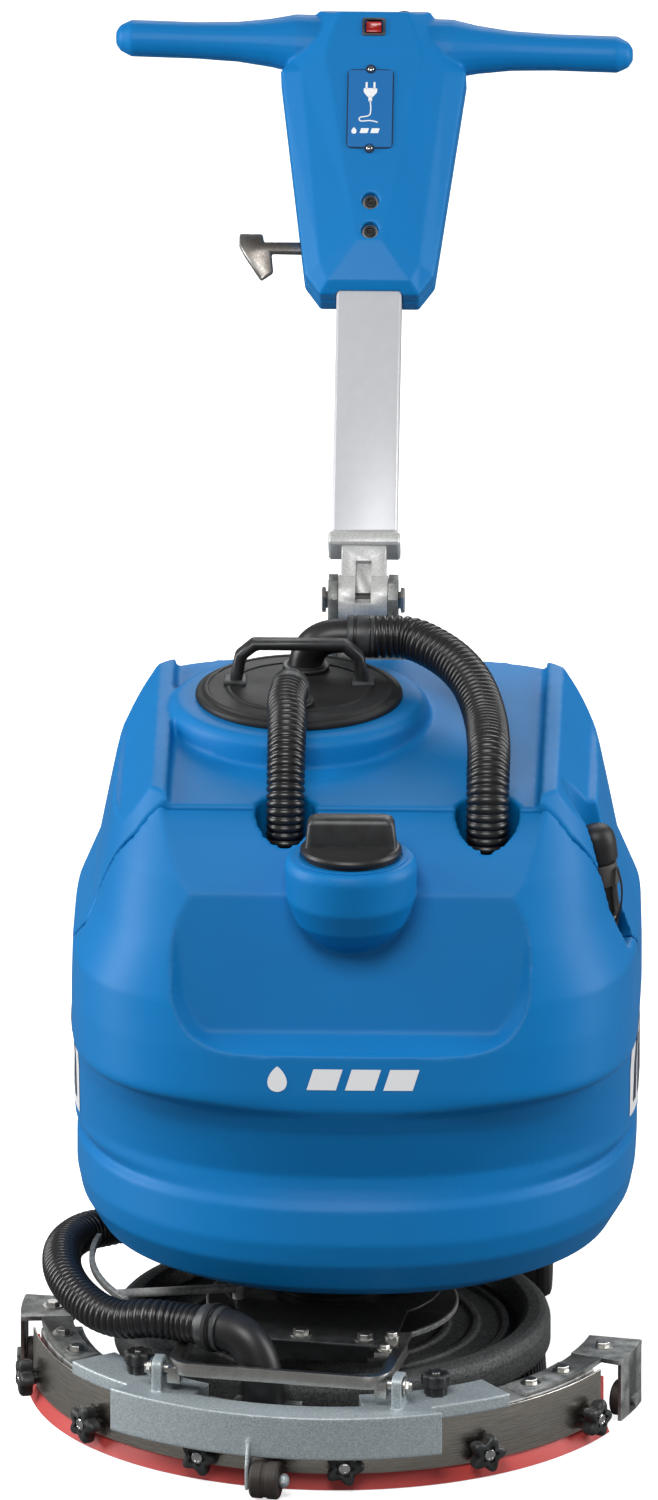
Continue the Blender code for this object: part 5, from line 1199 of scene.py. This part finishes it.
def make_handle():
    for name in ("head_front", "head_back"):
        shell = from_node(name, HEAD_BLUE, new_name=name + "_moulded")
        soften(shell, 0.0015, 4)
        settle(shell, HEAD_BLUE, "mast", (name,), 0)
    from_node("mast_tube", POLE_WHITE, bevel=3.2, segments=4)
    from_node("mast_knuckle", CAST_GREY, bevel=1.6, segments=3)
    from_node("tilt_lever", LEVER_GREY, bevel=2.2, segments=3)
    from_node("rocker_switch", RED_SWITCH, bevel=0.7)
    dome = [(0, HEAD_HIGH - 4), (11, HEAD_HIGH - 4), (11, HEAD_HIGH + 1), (9.5, HEAD_HIGH + 3.8),
            (6, HEAD_HIGH + 5.1), (0, HEAD_HIGH + 5.5)]
    piece("button_dome", moved(lathe(dome, 1.5, 64), (-20, 13, 0)), CHROME, "button", at=HANDLE,
          stands_for=("push_button",))
    ring = lathe([(11.6, HEAD_HIGH - 1), (14.5, HEAD_HIGH - 1), (14.5, HEAD_HIGH + 1), (11.6, HEAD_HIGH + 1)], 0.5, 64,
                 closed=True)
    piece("button_ring", moved(ring, (-20, 13, 0)), CHROME, "mast", at=HANDLE)
    dial = [(0, 0), (7.5, 0), (7.5, 8.6), (6.6, 10.4), (0, 10.4)]
    piece("dial_knob", moved(turned(dial, 10), (26, 13, HEAD_HIGH + 0.3)), CHROME, "dial", at=HANDLE,
          stands_for=("flow_dial",))
    inlet = lathe([(0, 0), (6.5, 0), (6.5, -8), (5.4, -9), (5.4, -11), (5.8, -12), (5, -14), (5.2, -15), (4.6, -20),
                   (0, -20)], 0.5, 48)
    piece("cord_sleeve", moved(inlet, (0, 22.5, HEAD_LOW - 0.3)), RUBBER, "mast", at=HANDLE,
          stands_for=("cord_inlet",))
    make_labels()


def flat_panel(outline, front, depth=0.8):
    """Thin plate with rounded outline on the handle's front face."""
    return prism(outline, front, front + depth, axis="Y")


def rounded(x, z, radius, steps=6):
    return eased([(x[0], z[0]), (x[1], z[0]), (x[1], z[1]), (x[0], z[1])], radius, steps)


def make_labels():
    face = HEAD_FRONT - 0.2
    plate_x, plate_z = (-22.7, 18.9), (430, 508)
    piece("label_border", flat_panel(rounded(plate_x, plate_z, 6), face - 0.9, 1.2), PANEL_DARK, "mast", at=HANDLE)
    inside = rounded((plate_x[0] + 1.1, plate_x[1] - 1.1), (plate_z[0] + 1.1, plate_z[1] - 1.1), 2.4)
    piece("label_plate", flat_panel(inside, face - 1.3, 1.2), PANEL_BLUE, "mast", at=HANDLE)
    mid = (plate_x[0] + plate_x[1]) / 2
    plug = [eased([(mid - 6, 489), (mid - 6, 485), (mid - 2, 480), (mid + 2, 480), (mid + 6, 485), (mid + 6, 489)], 1),
            rounded((mid - 4.4, mid - 2.6), (488, 495), 0.6), rounded((mid + 2.6, mid + 4.4), (488, 495), 0.6),
            rounded((mid - 1.6, mid + 1.6), (476, 481), 0.6)]
    drop = [(mid - 14 + 2.8 * math.sin(a) * math.sin(a / 2) ** 0.7, 447 + 3.2 * math.cos(a))
            for a in (math.tau * k / 30 for k in range(1, 30))]
    bars = [[(mid + x, 444.6), (mid + x + 7, 444.6), (mid + x + 8.4, 449.4), (mid + x + 1.4, 449.4)]
            for x in (-9, 0.5)]
    shapes = [flat_panel(outline, face - 1.5, 0.5) for outline in (*plug, drop, *bars)]
    cord = smooth_route([(mid, 0, 477), (mid + 0.6, 0, 468), (mid - 1, 0, 462), (mid - 9, 0, 460), (mid - 8, 0, 456.5),
                         (mid, 0, 457), (mid + 7, 0, 455.5)], 1.2)
    rings = []
    for k, point in enumerate(cord):
        run = (cord[min(k + 1, len(cord) - 1)] - cord[max(k - 1, 0)]).normalized()
        side = Vector((run.z, 0, -run.x)) * 0.55
        rings.append([(point.x + side.x * s, face - d, point.z + side.z * s)
                      for s, d in ((1, 1.5), (-1, 1.5), (-1, 1.1), (1, 1.1))])
    piece("plug_pictogram", merged(*shapes, loft(rings)), INK_WHITE, "mast", at=HANDLE, sharp=20)
    for n, z in enumerate((plate_z[0], plate_z[1])):
        ear = turned([(0, 0), (4.6, 0), (4.6, 1.5), (0, 1.5)], 40)
        piece(f"label_ear_{n + 1}", aimed(ear, (mid, face + 0.2, z), (0, -1, 0)), PANEL_DARK, "mast", at=HANDLE)
        screw = lathe([(0, 0), (2.6, 0), (2.6, 0.9), (1.6, 1.5), (0, 1.7)], 0.3, 32)
        piece(f"label_screw_{n + 1}", aimed(screw, (mid, face - 1.2, z), (0, -1, 0)), CHROME, "mast", at=HANDLE)
    for n, z in enumerate((HEAD_LOW + 56, HEAD_LOW + 85)):
        washer = lathe([(3.2, 0), (7.6, 0), (7.6, 1.2), (3.2, 1.2)], 0.3, 48, closed=True)
        piece(f"screw_washer_{n + 1}", aimed(washer, (0, HEAD_FRONT + 7.8, z), (0, -1, 0)), ZINC_BOLT, "mast", at=HANDLE)
        head = lathe([(0, 1), (5, 1), (5, 5.6), (4.6, 6), (2.8, 6), (2.8, 3.4), (0, 3.4)], 0.3, 48)
        piece(f"socket_screw_{n + 1}", aimed(head, (0, HEAD_FRONT + 7.8, z), (0, -1, 0)), SATIN_BLACK, "mast", at=HANDLE)
    z = HEAD_HIGH - 23.5
    frame_ring = loft([[(x, y, zz + z) for x, zz in rounded((-w, w), (-h, h), 2.2)]
                       for y, w, h in ((HEAD_FRONT + 6, 8.3, 6.8), (HEAD_FRONT - 1.2, 8.3, 6.8),
                                       (HEAD_FRONT - 1.4, 10, 8.4), (HEAD_FRONT + 0.4, 10.6, 9), (HEAD_FRONT + 6, 8.4, 6.9))],
                      caps=False)
    piece("rocker_frame", frame_ring, SATIN_BLACK, "mast", at=HANDLE)


def make_front_mark():
    """Generic mark on the front: a droplet and three slanting bars."""
    def on_front(points, lift=0.35):
        bm = bmesh.new()
        bm.faces.new([bm.verts.new((x, hull_front(x, z) - lift - 0.4, z)) for x, z in points])
        return bm
    mid, z0 = -64, 362
    drop = []
    for k in range(48):
        a = math.tau * k / 48
        drop.append((mid + 10.5 * math.sin(a) * math.sin(a / 2) ** 0.7, z0 + 11 * math.cos(a)))
    bars = [[(x, z0 - 9), (x + 26, z0 - 9), (x + 32, z0 + 9), (x + 6, z0 + 9)] for x in (-38, -4, 30)]
    shapes = [on_front(drop)]
    for bar in bars:
        shapes.append(on_front(bar))
    mark = piece("front_mark", merged(*shapes), INK_WHITE, "chassis", sharp=0)
    mark.data.flip_normals()



def hull_side(y, z):
    """Half width of the skin at a height, this far along."""
    side, front, rear = hull_sizes(z)
    depth, power = ((BODY_MID_Y - BODY_FRONT - front, fullness(z)) if y < BODY_MID_Y
                    else (BODY_REAR - rear - BODY_MID_Y, 4.5))
    share = min(0.98, abs(y - BODY_MID_Y) / depth) ** power
    return (BODY_HALF_WIDTH - side) * (1 - share) ** (1 / power)


def skin_patch(sign, y, z, lift, slant=0.0):
    """Thin sheet that follows a flank between two places along it and two heights."""
    bm = bmesh.new()
    rows = []
    for k in range(9):
        height = z[0] + (z[1] - z[0]) * k / 8
        rows.append([bm.verts.new((sign * (hull_side(y[0] + (y[1] - y[0]) * n / 12 + slant * k / 8, height) + lift),
                                   y[0] + (y[1] - y[0]) * n / 12 + slant * k / 8, height)) for n in range(13)])
    for low, high in zip(rows, rows[1:]):
        for n in range(12):
            bm.faces.new((low[n], low[n + 1], high[n + 1], high[n]))
    return bm


def make_flank_labels():
    for side, sign in (("left", -1), ("right", 1)):
        piece(f"flank_panel_{side}", skin_patch(sign, (-8, 120), (262, 350), 0.5), INK_WHITE, "chassis", sharp=0)
        stripes = [skin_patch(sign, (4 + 26 * k, 18 + 26 * k), (272, 340), 0.8, 12) for k in range(4)]
        piece(f"flank_stripes_{side}", merged(*stripes), PANEL_DARK, "chassis", sharp=0)


set_camera()
set_studio()
make_solution_tank()
make_recovery_tank()
make_lid()
make_hoses()
make_filler()
make_drain()
make_chassis()
make_wheels()
make_brush()
for knob in range(6):
    make_star_knob(knob)
make_squeegee_strips()
make_casting()
make_brackets()
make_arm()
make_handle()
make_front_mark()
make_flank_labels()
